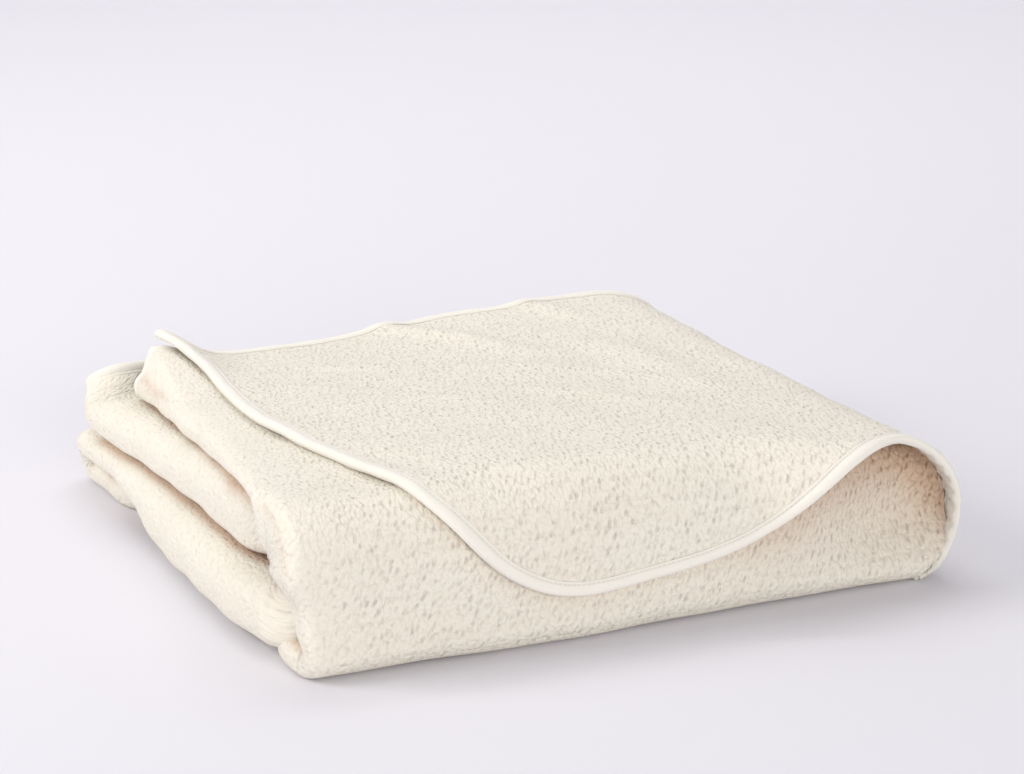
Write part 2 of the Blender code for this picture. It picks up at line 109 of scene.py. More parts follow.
UPPER_RUN = (
    (0.046, 0.0690, 0.0145, 0.032, 0.416, 0.012, 0.0),
    (0.066, 0.0660, 0.0140, 0.010, 0.416, 0.013, 0.0),
    (0.088, 0.0650, 0.0170, -0.001, 0.416, 0.015, 0.0),
    (0.125, 0.0650, 0.0203, -0.006, 0.416, 0.018, 0.0),
    (0.215, 0.0617, 0.0150, -0.007, 0.416, 0.017, 0.0),
    (0.300, 0.0583, 0.0143, -0.009, 0.416, 0.016, 0.0),
    (0.365, 0.0555, 0.0125, -0.012, 0.414, 0.016, 0.0),
    (0.393, 0.0600, 0.0112, -0.014, 0.406, 0.018, 0.0),
    (0.412, 0.0795, 0.0110, -0.005, 0.396, 0.020, 0.0),
)

# %% [markdown]
# The whole pile sags and bulges a little. A small table of heights over the plan does that: the plain pile is
# built first and then its points are lowered to these heights, so the layers settle together.

# %% Tables of the settled pile and the flap
PLAN_X = (0.030, 0.150, 0.270, 0.375)
PLAN_Y = (0.020, 0.140, 0.260, 0.390)
HEIGHTS = (
    (0.108, 0.109, 0.106, 0.100),
    (0.106, 0.105, 0.102, 0.097),
    (0.100, 0.099, 0.099, 0.096),
    (0.090, 0.087, 0.094, 0.097),
)
# the front bulges round one place, and further right it is drawn back into a dish
FRONT_BULGE, BULGE_X, BULGE_REACH, BULGE_BACK = 0.004, 0.160, 0.110, 0.12
DISH, DISH_X = 0.036, (0.300, 0.425)
# the front layer's right edge bends back into the curl: how far, over what width, between what heights
LIP, LIP_REACH, LIP_Z = 0.021, 0.026, (0.012, 0.092)
CURL_GAP = 0.0031  # between the middle of the curl and the front layer that runs into it
# the flap round the right side: where the top bends down, the furthest place right, and the foot
CURL_X, CURL_OUT, CURL_Z, FOOT_X, FOOT_Z, TAIL_END = 0.375, 0.437, 0.050, 0.408, 0.0018, 0.384
# towards the right the flap reaches further forward before it bends down: where, and by how much
FREE_X, FREE_EDGE = (0.270, 0.395), 0.045
CURL_INSET = 0.001  # how far the curl is drawn in behind its front edge, which stays open
# the flap's back left corner stands up on a low wall of cloth: its height, and the wall's height and width
CORNER_LIFT, WALL, WALL_WIDE = 0.021, 0.018, 0.009
END_DROP = 0.004  # the inner end's left shoulder is rounded down by this much
SQUARE, SAGGING = 0.78, 0.17  # 1 makes the left folds round, less makes them fuller; they sag downwards
# the flap's outline laid flat, columns: x along the top and on round the curl, y from front to back
LEFT_EDGE = (
    (0.033, 0.388), (0.044, 0.344), (0.046, 0.300), (0.040, 0.241), (0.036, 0.188), (0.043, 0.120),
    (0.054, 0.062), (0.068, 0.012), (0.091, -0.024), (0.115, -0.049), (0.140, -0.064),
)
FRONT_EDGE = (
    (0.140, -0.064), (0.165, -0.069), (0.200, -0.067), (0.250, -0.060), (0.304, -0.044), (0.352, -0.024),
    (0.391, -0.008), (0.430, -0.004), (0.520, -0.002),
)
BACK_EDGE = (
    (0.520, 0.398), (0.430, 0.398), (0.350, 0.400), (0.300, 0.394), (0.240, 0.398), (0.180, 0.391),
    (0.110, 0.386), (0.070, 0.386), (0.033, 0.388),
)

# %% [markdown]
# ## Smooth curves
#
# Two small helpers do most of the drawing. One runs a smooth curve through rows of a table and spaces points
# evenly along it. The other reads a table at any place between its rows. Ramps fade every effect in and out,
# so that nothing in the cloth has a hard start. Working on whole arrays at once keeps the lesson quick, even
# for tens of thousands of points.

# %% Curve helpers
def step01(t):
    t = np.clip(t, 0.0, 1.0)
    return t * t * (3 - 2 * t)


def ramp(value, start, width):
    """0 up to start, then rising softly to 1 over a width."""
    return step01((value - start) / width)


def ramp_down(value, end, width):
    """1 well below end, falling softly over a width to 0 at end."""
    return step01((end - value) / width)


def bump01(t):
    """1 at t = 0 and fading softly to 0 at t = 1 either way."""
    return np.exp(-np.square(2.0 * np.asarray(t)))


def run_along(points):
    """How far each point of a line is from the line's start."""
    return np.concatenate([[0], np.cumsum(np.linalg.norm(np.diff(points, axis=0), axis=1))])


def soft_curve(points, count):
    p = np.array(points, float)
    p = np.vstack([2 * p[0] - p[1], p, 2 * p[-1] - p[-2]])
    t = np.linspace(0, 1, 24, endpoint=False)[:, None]
    fine = []
    for i in range(1, len(p) - 2):
        b = (p[i + 1] - p[i - 1]) * t
        c = (2 * p[i - 1] - 5 * p[i] + 4 * p[i + 1] - p[i + 2]) * t**2
        d = (3 * p[i] - p[i - 1] - 3 * p[i + 1] + p[i + 2]) * t**3
        fine.append((2 * p[i] + b + c + d) / 2)
    fine = np.vstack([*fine, p[-2]])
    along = run_along(fine)
    at = np.linspace(0, along[-1], count)
    return np.stack([np.interp(at, along, fine[:, k]) for k in range(fine.shape[1])], 1)


def read_table(x, xs, values):
    """Smoothly between the rows of a table. values has one number a row, or one a row for each x."""
    xs = np.array(xs, float)
    x = np.clip(np.asarray(x, float), xs[0], xs[-1])
    values = np.array(values, float)
    if values.ndim == 1:
        values = np.broadcast_to(values.reshape(-1, *[1] * x.ndim), (len(xs), *x.shape))
    slopes = np.gradient(values, xs, axis=0)
    i = np.clip(np.searchsorted(xs, x, side="right") - 1, 0, len(xs) - 2)

    def at(table, k):
        return np.take_along_axis(table, k[None], 0)[0]

    h = xs[i + 1] - xs[i]
    t = (x - xs[i]) / h
    low = (2 * t**3 - 3 * t**2 + 1) * at(values, i) + (t**3 - 2 * t**2 + t) * h * at(slopes, i)
    high = (3 * t**2 - 2 * t**3) * at(values, i + 1) + (t**3 - t**2) * h * at(slopes, i + 1)
    return low + high


def sideways(path):
    """Unit directions square to a flat line, at each of its points."""
    steps = np.diff(path, axis=0)
    steps /= np.linalg.norm(steps, axis=1)[:, None]
    along = np.vstack([steps[:1], steps[:-1] + steps[1:], steps[-1:]])
    along /= np.linalg.norm(along, axis=1)[:, None]
    return np.stack([-along[:, 1], along[:, 0]], 1)


# %% [markdown]
# Cloth is never quite even. A few long waves with fixed directions and lengths make a gentle unevenness that
# comes out the same on every run.

# %% Gentle unevenness
WAVES = ((0.071, 0.3, 0.4), (0.053, 1.4, 2.1), (0.118, 2.2, 0.9), (0.034, 2.9, 3.3), (0.090, 0.9, 5.0))
# columns: length in metres, direction in radians, start
WAVES_MOST = 2.6  # about the most that they add up to


def waves(u, v, shortest=0.0):
    """About -1 to 1 over the cloth."""
    total = 0.0
    for length, turn, start in WAVES:
        if length > shortest:
            total = total + np.sin(2 * math.pi * (u * math.cos(turn) + v * math.sin(turn)) / length + start)
    return total / WAVES_MOST


# %% Settling the pile
TOP_Y = [row[0] for row in reversed(TOP_RUN)]
TOP_Z = [row[1] + row[2] for row in reversed(TOP_RUN)]


def plain_top(y):
    return read_table(y, TOP_Y, TOP_Z) + REST + CLOTH


def height_at(x, y):
    rows = np.array([read_table(x, PLAN_X, row) for row in HEIGHTS])
    return read_table(y, PLAN_Y, rows)


def settle(x, y, z):
    z = z * height_at(x, y) / plain_top(y)
    bulge = np.exp(-(((x - BULGE_X) / BULGE_REACH) ** 2))
    y = y - FRONT_BULGE * bulge * (1 - ramp(y, 0.0, BULGE_BACK))
    return np.stack([x, y, z], -1)


# %% [markdown]
# ## The folded strip
#
# The strip could be simulated, but a fold that has been pressed by years of use is neater than a
# simulation gives. So it is lofted: a cross-section of the three layers is drawn at many places along the
# run, and the sections are joined. The rows of a run are tables above, and the turns between them are arcs.

# %% Sections along the strip
RUN_STEPS = {"top": 0.0055, "front": 0.004, "bottom": 0.010, "inside": 0.008}  # metres between sections
TURN_STEP = math.radians(9)


def run_sections(rows, heading, step):
    length = abs(rows[-1][0] - rows[0][0]) + abs(rows[-1][1] - rows[0][1])
    points = soft_curve(rows, math.ceil(length / step) + 1)
    along = np.gradient(points[:, :2], axis=0)
    along /= np.linalg.norm(along, axis=1)[:, None]
    along[0] = along[-1] = heading
    return [np.concatenate(pair) for pair in zip(points, along)]


def turn_sections(before, after, centre, side, sweep):
    start = before[:2] - centre
    side = np.array(side, float)
    count = math.ceil(sweep / TURN_STEP)
    out = []
    for i in range(1, count):
        angle = sweep * i / count
        place = centre + start * math.cos(angle) + side * math.sin(angle)
        along = -start * math.sin(angle) + side * math.cos(angle)
        shape = before[2:-2] * (1 - i / count) + after[2:-2] * i / count
        out.append(np.array((*place, *shape, *along / np.linalg.norm(along))))
    return out


top = run_sections(TOP_RUN, (-1, 0), RUN_STEPS["top"])
spine = run_sections(SPINE_RUN, (0, -1), RUN_STEPS["front"])
bottom = run_sections(BOTTOM_RUN, (1, 0), RUN_STEPS["bottom"])
lower = run_sections(LOWER_RUN, (-1, 0), RUN_STEPS["inside"])
upper = run_sections(UPPER_RUN, (1, 0), RUN_STEPS["inside"])
last = np.array(UPPER_RUN[-1][:2]) - np.array(UPPER_RUN[-2][:2])
upper[-1][-2:] = last / np.linalg.norm(last)

half_turn, quarter = math.pi, math.pi / 2
brow = np.array((top[-1][0], spine[0][1]))
toe = np.array((bottom[0][0], spine[-1][1]))
low_gap, high_gap = (lower[0][1] - bottom[-1][1]) / 2, (upper[0][1] - lower[-1][1]) / 2
sections = [*top, *turn_sections(top[-1], spine[0], brow, spine[0][:2] - brow, quarter), *spine]
sections += [*turn_sections(spine[-1], bottom[0], toe, bottom[0][:2] - toe, quarter), *bottom]
sections += turn_sections(bottom[-1], lower[0], bottom[-1][:2] + (0, low_gap), (low_gap, 0), half_turn)
sections += [*lower]
sections += turn_sections(lower[-1], upper[0], lower[-1][:2] + (0, high_gap), (-high_gap, 0), half_turn)
sections += [*upper]
OPEN_SECTIONS = len(top) + len(spine) + 2 * (math.ceil(quarter / TURN_STEP) - 1)  # those on the outside
print("sections along the strip:", len(sections))

# %% [markdown]
# Each cross-section is one line through the cloth's middle: in from the right along the outer layer, round
# the left fold, back to the right and in again. The left fold is tightly bent, so the points are closer
# together there.

# %% One cross-section
FLARE, OUTER, NEAR, ROUND, BACK, TURN, MIDDLE = 12, 44, 8, 25, 14, 6, 12  # points in each stretch
NEAR_FOLD = 0.036  # the stretch beside the left fold, where the points are closer together
WAVER, WAVER_Y, WAVER_Z = 0.0005, 0.0085, 0.006  # the left folds waver by this much, and how often
FLARE_BEND = math.radians(85)
SAG_WIDE, SAG_TIGHT = 0.021, 0.010  # how soon a sagging layer is level again, inside and at the front
SAG_START, MIDDLE_START = 0.003, 0.012  # how far behind the left fold the sag fades and the middle layer ends
BROW_Z = 0.09  # sections higher than this are at the front edge of the top
# where the front layer begins to follow the curl, and how its bent edge and its thin edge fade
FOLLOW_CURL, LIP_FADE, THIN_HIGH, THIN_LOW = (0.008, 0.012), 0.028, 0.02, 0.01
THINNER, THIN_POINTS = 0.85, 5  # the front layer's edge loses this share of its thickness
CURL_TOP = float(plain_top(0.0)) - CLOTH / 2


def on_front(section):
    """True where the strip runs down the front."""
    return section[-1] < -0.3


def curl_wall(z):
    """How far right the front layer may reach at a height, just inside the curl."""
    out, low_out = CURL_OUT - CURL_X - CURL_GAP, CURL_OUT - FOOT_X - CURL_GAP
    high, low = (z - CURL_Z) / (CURL_TOP - CURL_Z - CURL_GAP), (CURL_Z - z) / (CURL_Z - FOOT_Z - CURL_GAP)
    if z > CURL_Z:
        return CURL_X + out * math.sqrt(max(1 - high**2, 0))
    return FOOT_X + low_out * math.sqrt(max(1 - low**2, 0))


def fold_path(section):
    """x and distance from the strip's middle, for points along the cloth."""
    y, z, half, left, right, nose, droop, along_y, along_z = section
    reach = half - CLOTH / 2
    left = left + WAVER * math.sin(y / WAVER_Y + z / WAVER_Z)
    start = left + CLOTH / 2 + nose
    end, lip, sag_width = right, 0.0, SAG_WIDE
    if on_front(section):
        height = z - along_y * reach
        end = right + (curl_wall(height) - right) * ramp(height, *FOLLOW_CURL)
        lip = LIP * ramp(z, LIP_Z[0], LIP_FADE) * ramp_down(z, LIP_Z[1], LIP_FADE)
    if droop > 0 and (on_front(section) or z > BROW_Z):
        sag_width = SAG_TIGHT
    bend = np.linspace(1, 0, FLARE + 1)[:-1] * FLARE_BEND
    flare = np.stack([end - LIP_REACH * (1 - np.sin(bend)), -reach - lip * (1 - np.cos(bend))], 1)
    outer = np.linspace(end - LIP_REACH, start + NEAR_FOLD, OUTER)
    near = np.linspace(start + NEAR_FOLD, start, NEAR + 2)[1:-1]
    angle = np.linspace(0, math.pi, ROUND)
    up = np.cos(angle)
    square = SQUARE - SAGGING * along_y * np.sign(up)
    round_x = start - nose * np.sin(angle) ** square
    round_w = droop / 2 - (reach + droop / 2) * np.sign(up) * np.abs(up) ** square
    inner = reach / 2
    stop = right - CLOTH / 2 - inner
    back = np.concatenate([near[::-1], np.linspace(start + NEAR_FOLD, stop, BACK)])
    sag = reach + droop * (1 - ramp(back - start, SAG_START, sag_width))
    turn = np.linspace(0, math.pi, TURN + 2)[1:-1]
    middle = np.linspace(stop, start + MIDDLE_START, MIDDLE)
    x = np.concatenate([flare[:, 0], outer, near, round_x, back, stop + inner * np.sin(turn), middle])
    turned = inner + inner * np.cos(turn)
    w = np.concatenate([flare[:, 1], np.full(OUTER + NEAR, -reach), round_w, sag, turned, np.zeros(MIDDLE)])
    return np.stack([x, w], 1)


def edge_thickness(section, count):
    """Half the cloth's thickness along a section: its front edge thins out where it meets the curl."""
    thin = ramp_down(section[1], LIP_Z[1], THIN_HIGH) * ramp(section[1], LIP_Z[0], THIN_LOW)
    thin = thin if on_front(section) else 0.0
    return CLOTH / 2 * (1 - THINNER * thin * (1 - step01(np.arange(count) / THIN_POINTS)))


# %% Painted shade and looseness of a section
UPPER_Z, LOWER_Z = 0.05, 0.025  # the runs above these heights are the top and the upper one
TOP_Z_LOW = 0.07  # a run above this height is the top
CREASE_SHADE_START, CREASE_SHADE_FADE = 0.15, 0.007  # painted warm shade begins this share into a fold and grows over this distance
CREASE_SHADE_END_X, CREASE_SHADE_END_Y = (0.07, 0.05), (0.370, 0.020)  # where it ends to the right and to the back
BACK_Y, BACK_START = 0.374, 0.06
# painted shade also lies in the crease along the foot of the low wall under the corner
WALL_FOOT_SHADE, WALL_FOOT_WIDE, WALL_FOOT_Y = 0.45, 0.0022, (0.27, 0.05)
LOOSE_NEAR, LOOSE_ROUND = 0.7, 0.75


def left_of(rows, y):
    """Where the left end of a run is, at a place along it."""
    table = np.array(sorted((row[0], row[3]) for row in rows))
    return np.interp(y, table[:, 0], table[:, 1])


def crevice(section, path, open_outside):
    """How much warm shade is painted on each point of a section, 0 to 1, and how loose the weave is there."""
    y, z, _, left, _, nose = section[:6]
    above = TOP_RUN if z > UPPER_Z else UPPER_RUN if z > LOWER_Z else LOWER_RUN
    start = left + CREASE_SHADE_START * nose
    if not open_outside:
        start = max(start, left_of(above, y))
        if z > UPPER_Z and y > BACK_Y:
            start = BACK_START
    # painted shade goes only in the creases at the left, not in the turns at the back
    warm = ramp(path[:, 0], start, CREASE_SHADE_FADE) * (1 - ramp(path[:, 0], *CREASE_SHADE_END_X))
    warm = warm * (1 - ramp(y, *CREASE_SHADE_END_Y))
    if open_outside:
        warm = warm * (path[:, 1] > 0)
        # painted shade along the foot of the wall under the corner
        from_wall = (path[:, 0] - wall_start(section)) / WALL_FOOT_WIDE
        foot = WALL_FOOT_SHADE * np.exp(-(from_wall**2)) * (path[:, 1] < 0)
        warm = np.maximum(warm, foot * ramp(y, *WALL_FOOT_Y) * (z > TOP_Z_LOW))
    near = np.linspace(0, LOOSE_NEAR, NEAR)
    loose = np.concatenate([np.zeros(FLARE + OUTER), near, np.full(ROUND, LOOSE_ROUND)])
    return warm, np.concatenate([loose, np.zeros(len(path) - len(loose))])


print("points across the strip:", len(fold_path(sections[0])))


# %% From a section to a place in the room
CORNER_X, CORNER_WIDE, CORNER_Y = 0.036, 0.026, (0.25, 0.15)
OUTER_SIDE = (0.2, 0.6)  # shares of the half thickness over which the wall is raised
DISH_Z, DISH_BACK = (0.004, 0.045), 0.09
SHOULDER_X, SHOULDER_Z, SHOULDER_Y = (0.020, 0.034), (0.055, 0.03), (0.375, 0.03)


def corner_rise(x, y):
    """How far the back left corner stands up, 0 to 1."""
    return np.exp(-(((x - CORNER_X) / CORNER_WIDE) ** 2)) * ramp(y, *CORNER_Y)


def wall_start(section):
    """Where the low wall of cloth under the corner begins."""
    return section[3] + 0.3 * section[5]


def strip_place(section, x, offset):
    y, z = section[:2]
    along_y, along_z = section[-2:]
    if z > TOP_Z_LOW and along_y < -0.9:
        outer_side = ramp(-offset / (section[2] - CLOTH / 2), *OUTER_SIDE)
        wall = WALL * corner_rise(np.maximum(x, CORNER_X), y)
        wall = wall * ramp(x, wall_start(section), WALL_WIDE)
        z = z + wall * outer_side
    y = y - along_z * offset
    z = z + along_y * offset
    back = DISH * ramp(x, DISH_X[0], DISH_X[1] - DISH_X[0])
    y = y + back * ramp(z, *DISH_Z) * (1 - ramp(y, 0.0, DISH_BACK))
    rounded = ramp_down(x, *SHOULDER_X) * ramp(z, *SHOULDER_Z) * ramp(y, *SHOULDER_Y)
    return settle(x, y, z - END_DROP * rounded)


# %% [markdown]
# The cloth's two faces lie half its thickness either side of that line. The unevenness is added to the line
# itself, so the cloth keeps its thickness where it waves. Each point also gets its place on the cloth laid
# flat, in metres: the weave is drawn by that, so it follows the cloth round every fold.

# %% Loft the strip
FLAT_ZERO = 0.2
STRIP_WAVES, FLAP_WAVES, LONG_WAVES = 0.0006, 0.0007, 0.05


def loft_strip():
    places, flat, fold = [], [], []
    run = 0.0
    before = None
    for number, section in enumerate(sections):
        path = fold_path(section)
        across = run_along(path)
        reach = section[2] - CLOTH / 2
        outside = section[:2] + reach * np.array((section[-1], -section[-2]))
        if before is not None:
            run += np.linalg.norm(outside - before)
        before = outside
        # flat places are counted from one line along the cloth, so the weave's rows meet
        across -= np.interp(-FLAT_ZERO, -path[: FLARE + OUTER, 0], across[: FLARE + OUTER])
        side = sideways(path)
        path = path + side * STRIP_WAVES * waves(across, run, LONG_WAVES)[:, None]
        half = edge_thickness(section, len(path))[:, None]
        ring = np.vstack([path + side * half, (path - side * half)[::-1]])
        places.append(strip_place(section, ring[:, 0], ring[:, 1]))
        u = np.concatenate([across, across[::-1]])
        flat.append(np.stack([u, np.full(len(u), run)], 1))
        half_fold = np.stack(crevice(section, path, number < OPEN_SECTIONS), 1)
        fold.append(np.vstack([half_fold, half_fold[::-1]]))
    rings, size = len(places), len(places[0])
    index = np.arange(rings * size).reshape(rings, size)
    a, b = index[:-1], index[1:]
    quads = np.stack([a, np.roll(a, -1, 1), np.roll(b, -1, 1), b], -1).reshape(-1, 4).tolist()
    half = size // 2
    for row, turned in ((index[0], False), (index[-1], True)):
        for i in range(half - 1):
            cap = [int(row[k]) for k in (i, i + 1, size - 2 - i, size - 1 - i)]
            quads.append(cap if turned else cap[::-1])
    print("length along the strip:", round(run, 3))
    return np.vstack(places), np.vstack(flat), np.vstack(fold), quads


strip_points, strip_flat, strip_fold, strip_faces = loft_strip()

# %% [markdown]
# ## The loose flap
#
# The flap is a single layer. It is easiest to describe laid flat, and then to bend: over the top, round the
# right side in a curl, and down over the front. One function bends any flat place, so the cloth, its
# binding and its stitches all follow the same shape.

# %% Bend a flat place of the flap
def curl_arcs(top):
    out, rise = CURL_OUT - CURL_X, top - CURL_Z
    low_out, low_rise = CURL_OUT - FOOT_X, CURL_Z - FOOT_Z
    upper_arc = quarter * np.sqrt((out**2 + rise**2) / 2)
    lower_arc = quarter * np.sqrt((low_out**2 + low_rise**2) / 2)
    return out, rise, low_out, low_rise, upper_arc, lower_arc


def curl_place(x, top):
    """Place (x, z) round the right side and the outward direction there, for a flat x."""
    out, rise, low_out, low_rise, upper_arc, lower_arc = curl_arcs(top)
    along = x - CURL_X
    a = quarter * np.clip(along / upper_arc, 0, 1)
    b = quarter * np.clip((along - upper_arc) / lower_arc, 0, 1)
    px = np.where(along <= 0, x, CURL_X + out * np.sin(a))
    pz = np.where(along <= 0, top, CURL_Z + rise * np.cos(a))
    nx, nz = rise * np.sin(a), out * np.cos(a)
    low = along > upper_arc
    px = np.where(low, FOOT_X + low_out * np.cos(b) - np.maximum(along - upper_arc - lower_arc, 0), px)
    pz = np.where(low, CURL_Z - low_rise * np.sin(b), pz)
    nx, nz = np.where(low, low_rise * np.cos(b), nx), np.where(low, -low_out * np.sin(b), nz)
    size = np.hypot(nx, nz)
    return px, pz, nx / size, nz / size


# %% [markdown]
# The top is not a plain sheet: soft ridges run across it from the back right, and a shallow trough lies
# behind the hanging corner. They are placed in a table, as long soft ribbons.

# %% Creases on the flap
# columns: height, width, then the flat places along its length
CREASES = (
    (0.0016, 0.016, ((0.185, 0.262), (0.250, 0.229), (0.300, 0.188), (0.350, 0.132))),
    (0.0014, 0.015, ((0.170, 0.206), (0.227, 0.173), (0.281, 0.121), (0.320, 0.075))),
    (-0.0018, 0.024, ((0.045, 0.130), (0.073, 0.070), (0.105, 0.018), (0.151, -0.010))),
    (0.0030, 0.030, ((0.332, 0.262), (0.333, 0.207), (0.334, 0.160))),
    (-0.0020, 0.020, ((0.290, 0.290), (0.300, 0.250), (0.295, 0.215))),
    (0.0045, 0.024, ((0.185, 0.430), (0.210, 0.385), (0.235, 0.330), (0.262, 0.270))),
    (0.0025, 0.020, ((0.300, 0.430), (0.322, 0.385), (0.345, 0.330))),
    (-0.0012, 0.012, ((0.060, 0.330), (0.105, 0.300), (0.150, 0.262), (0.185, 0.222))),
    (0.0010, 0.010, ((0.085, 0.255), (0.140, 0.200), (0.190, 0.150))),
)


def crease_height(x, y):
    total = 0.0
    for height, width, line in CREASES:
        line = soft_curve(line, 24)
        far = np.full(np.shape(x), 1e9)
        at = np.zeros(np.shape(x))
        for k, (cx, cy) in enumerate(line):
            d = np.hypot(x - cx, y - cy)
            at = np.where(d < far, k / (len(line) - 1), at)
            far = np.minimum(d, far)
        total = total + height * bump01(far / width) * np.sin(math.pi * np.clip(at, 0.04, 0.96)) ** 0.5
    return total


# %% Bend and crease together
INSET_X, INSET_Y = (0.40, 0.04), (-0.002, 0.035)


def flap_middle(x, y):
    forward = FREE_EDGE * ramp(x, FREE_X[0], FREE_X[1] - FREE_X[0])
    centre_y = TOP_RUN[-1][0] - forward
    radius = TOP_RUN[-1][0] - SPINE_RUN[0][0] + SPINE_RUN[0][2] + REST + CLOTH / 2
    angle = np.clip((centre_y - y) / radius, 0, quarter)
    straight = np.maximum(centre_y - radius * quarter - y, 0)
    over = y < centre_y
    y_out = np.where(over, centre_y - radius * np.sin(angle), y)
    drop = radius * (1 - np.cos(angle)) + straight
    top = plain_top(np.maximum(y_out, 0.0)) - CLOTH / 2
    px, pz, nx, nz = curl_place(x, top)
    lift = CORNER_LIFT * corner_rise(x, y)
    # the curl opens a little towards its front edge
    inset = drop + CURL_INSET * ramp(y, *INSET_Y) * ramp(x, *INSET_X)
    return settle(px - nx * inset, y_out, pz - nz * inset + lift)


def flap_place(x, y, offset):
    """Place of a flat point that lies offset above the middle of the cloth."""
    d = 0.0005
    along_x = flap_middle(x + d, y) - flap_middle(x - d, y)
    along_y = flap_middle(x, y + d) - flap_middle(x, y - d)
    normal = np.cross(along_x, along_y)
    normal /= np.linalg.norm(normal, axis=-1)[..., None]
    relief = crease_height(x, y) + FLAP_WAVES * waves(x, y, LONG_WAVES)
    return flap_middle(x, y) + normal * (np.asarray(offset) + relief)[..., None]


# %% [markdown]
# The outline has to be smooth, because the binding follows it. Its one sharp corner, at the back left, is
# rounded by averaging each point with its neighbours a few times, as a sewn corner is.

# %% The flap's outline
COLUMNS, ROWS = 116, 108
CORNER_ROUNDS = 6
FOOT_FROM = 0.5  # table places past this end where the curl meets the floor
FLAT_TOP = float(plain_top(0.2)) - CLOTH / 2
FOOT_FLAT_X = CURL_X + sum(curl_arcs(FLAT_TOP)[4:])


def flap_outline():
    back = [(FOOT_FLAT_X if x > FOOT_FROM else x, y) for x, y in BACK_EDGE]
    front = [(FOOT_FLAT_X if x > FOOT_FROM else x, y) for x, y in FRONT_EDGE]
    line = np.vstack([soft_curve(back, COLUMNS)[:-1], soft_curve(LEFT_EDGE, ROWS)[:-1],
                      soft_curve(front, COLUMNS)])
    for _ in range(CORNER_ROUNDS):
        line[1:-1] = (line[:-2] + 2 * line[1:-1] + line[2:]) / 4
    return line


outline = flap_outline()
outline_run = run_along(outline)
print("bound edge of the flap:", round(float(outline_run[-1]), 3))


# %% Fill the outline with cloth
TAIL_STUB, TAIL_HALF, TAIL_FRONT, TAIL_BACK = 0.006, 0.0009, (0.010, 0.025), (0.398, 0.010)


def fill_grid(back, left, front, right):
    """A grid of flat places between four border lines, rows from back to front."""
    u = np.linspace(0, 1, len(back))[None, :, None]
    v = np.linspace(0, 1, len(left))[:, None, None]
    sides = (1 - u) * left[:, None] + u * right[:, None]
    ends = (1 - v) * back[None] + v * front[None]
    corners = (1 - u) * (1 - v) * back[0] + u * (1 - v) * back[-1]
    corners = corners + (1 - u) * v * front[0] + u * v * front[-1]
    return sides + ends - corners


def make_flap():
    back = outline[:COLUMNS][::-1]
    left = outline[COLUMNS - 1 : COLUMNS + ROWS - 1]
    front = outline[COLUMNS + ROWS - 2 :]
    grid = fill_grid(back, left, front, soft_curve((back[-1], front[-1]), ROWS))
    # the last column runs on under the pile as a thin tail, and is short at both open ends
    tail = grid[:, -1] + (TAIL_STUB, 0)
    deep = ramp(tail[:, 1], *TAIL_FRONT) * ramp_down(tail[:, 1], *TAIL_BACK)
    tail[:, 0] += (FOOT_X - TAIL_END - TAIL_STUB) * deep
    grid = np.concatenate([grid, tail[:, None]], 1)
    thick = np.full(grid.shape[:2], CLOTH / 2)
    thick[:, -1] = TAIL_HALF
    places, flat = [], []
    for sign in (1, -1):
        places.append(flap_place(grid[..., 0], grid[..., 1], sign * thick).reshape(-1, 3))
        flat.append(grid.reshape(-1, 2))
    rows, columns = grid.shape[:2]
    count = rows * columns
    index = np.arange(count).reshape(rows, columns)
    a, b, c, d = index[:-1, :-1], index[1:, :-1], index[1:, 1:], index[:-1, 1:]
    upper_face = np.stack([a, b, c, d], -1).reshape(-1, 4)
    quads = upper_face.tolist() + (upper_face[:, ::-1] + count).tolist()
    rim = [*index[0, ::-1], *index[1:, 0], *index[-1, 1:], *index[-2:0:-1, -1]]
    for i, j in zip(rim, rim[1:] + rim[:1]):
        quads.append([int(j), int(i), int(i) + count, int(j) + count])
    return np.vstack(places), np.vstack(flat), quads


flap_points, flap_flat, flap_faces = make_flap()
print("points in the flap:", len(flap_points))


# %% [markdown]
# ## One cloth
#
# The strip and the flap are one piece on the real throw, so they become one mesh. A small helper turns
# points, flat places and faces into an object whose UV map is the flat cloth in metres.

# %% Make an object from points
def place_object(name, data):
    obj = bpy.data.objects.new(name, data)
    bpy.context.scene.collection.objects.link(obj)
    return obj


def soft_object(name, points, flat, faces, material, **fold):
    mesh = bpy.data.meshes.new(name)
    points = points + NEAR_CORNER
    points[:, 2] = np.maximum(points[:, 2], 0)
    mesh.from_pydata(points.tolist(), [], faces)
    mesh.materials.append(material)
    for label, values in fold.items():
        mesh.attributes.new(label, "FLOAT", "POINT").data.foreach_set("value", values.astype(np.float32))
    uv = mesh.uv_layers.new(name="flat_cloth")
    corner = np.zeros(len(mesh.loops), int)
    mesh.loops.foreach_get("vertex_index", corner)
    uv.data.foreach_set("uv", np.asarray(flat, float)[corner].ravel())
    mesh.polygons.foreach_set("use_smooth", np.ones(len(mesh.polygons), bool))
    mesh.validate()
    mesh.update()
    return place_object(name, mesh)


# %% Three finishes, still empty
cream = bpy.data.materials.new("cream_weave")
ivory = bpy.data.materials.new("ivory_binding_tape")
thread = bpy.data.materials.new("sewing_thread")
for material in (cream, ivory, thread):
    material.use_nodes = True
print("finishes:", [material.name for material in (cream, ivory, thread)])

# %% [markdown]
# Light that has crossed thick cotton comes out warm, so the deep places look almost orange. That shade is
# painted into the colour: the front layer gets painted warm shade under the flap's edge, and the curl inside
# its upper half. Each point of the cloth carries its painted shade and its looseness as numbers, which the
# finish reads.

# %% Painted warm shade on the front and in the curl
SHADE, SHADE_DEEP, SHADE_DEEPER = 0.25, 0.008, 0.032  # strength and depth at the left, and how they grow
SHADE_GROWS, SHADE_LEFT, SHADE_BACK = (0.24, 0.13), (0.06, 0.02), 0.07
CURL_SHADE, UNDER_SHADE, CURL_FROM, CURL_SHADE_Z = 0.9, 0.15, (0.36, 0.03), (0.038, 0.035)
edge = flap_middle(outline[:, 0], outline[:, 1])[COLUMNS:]
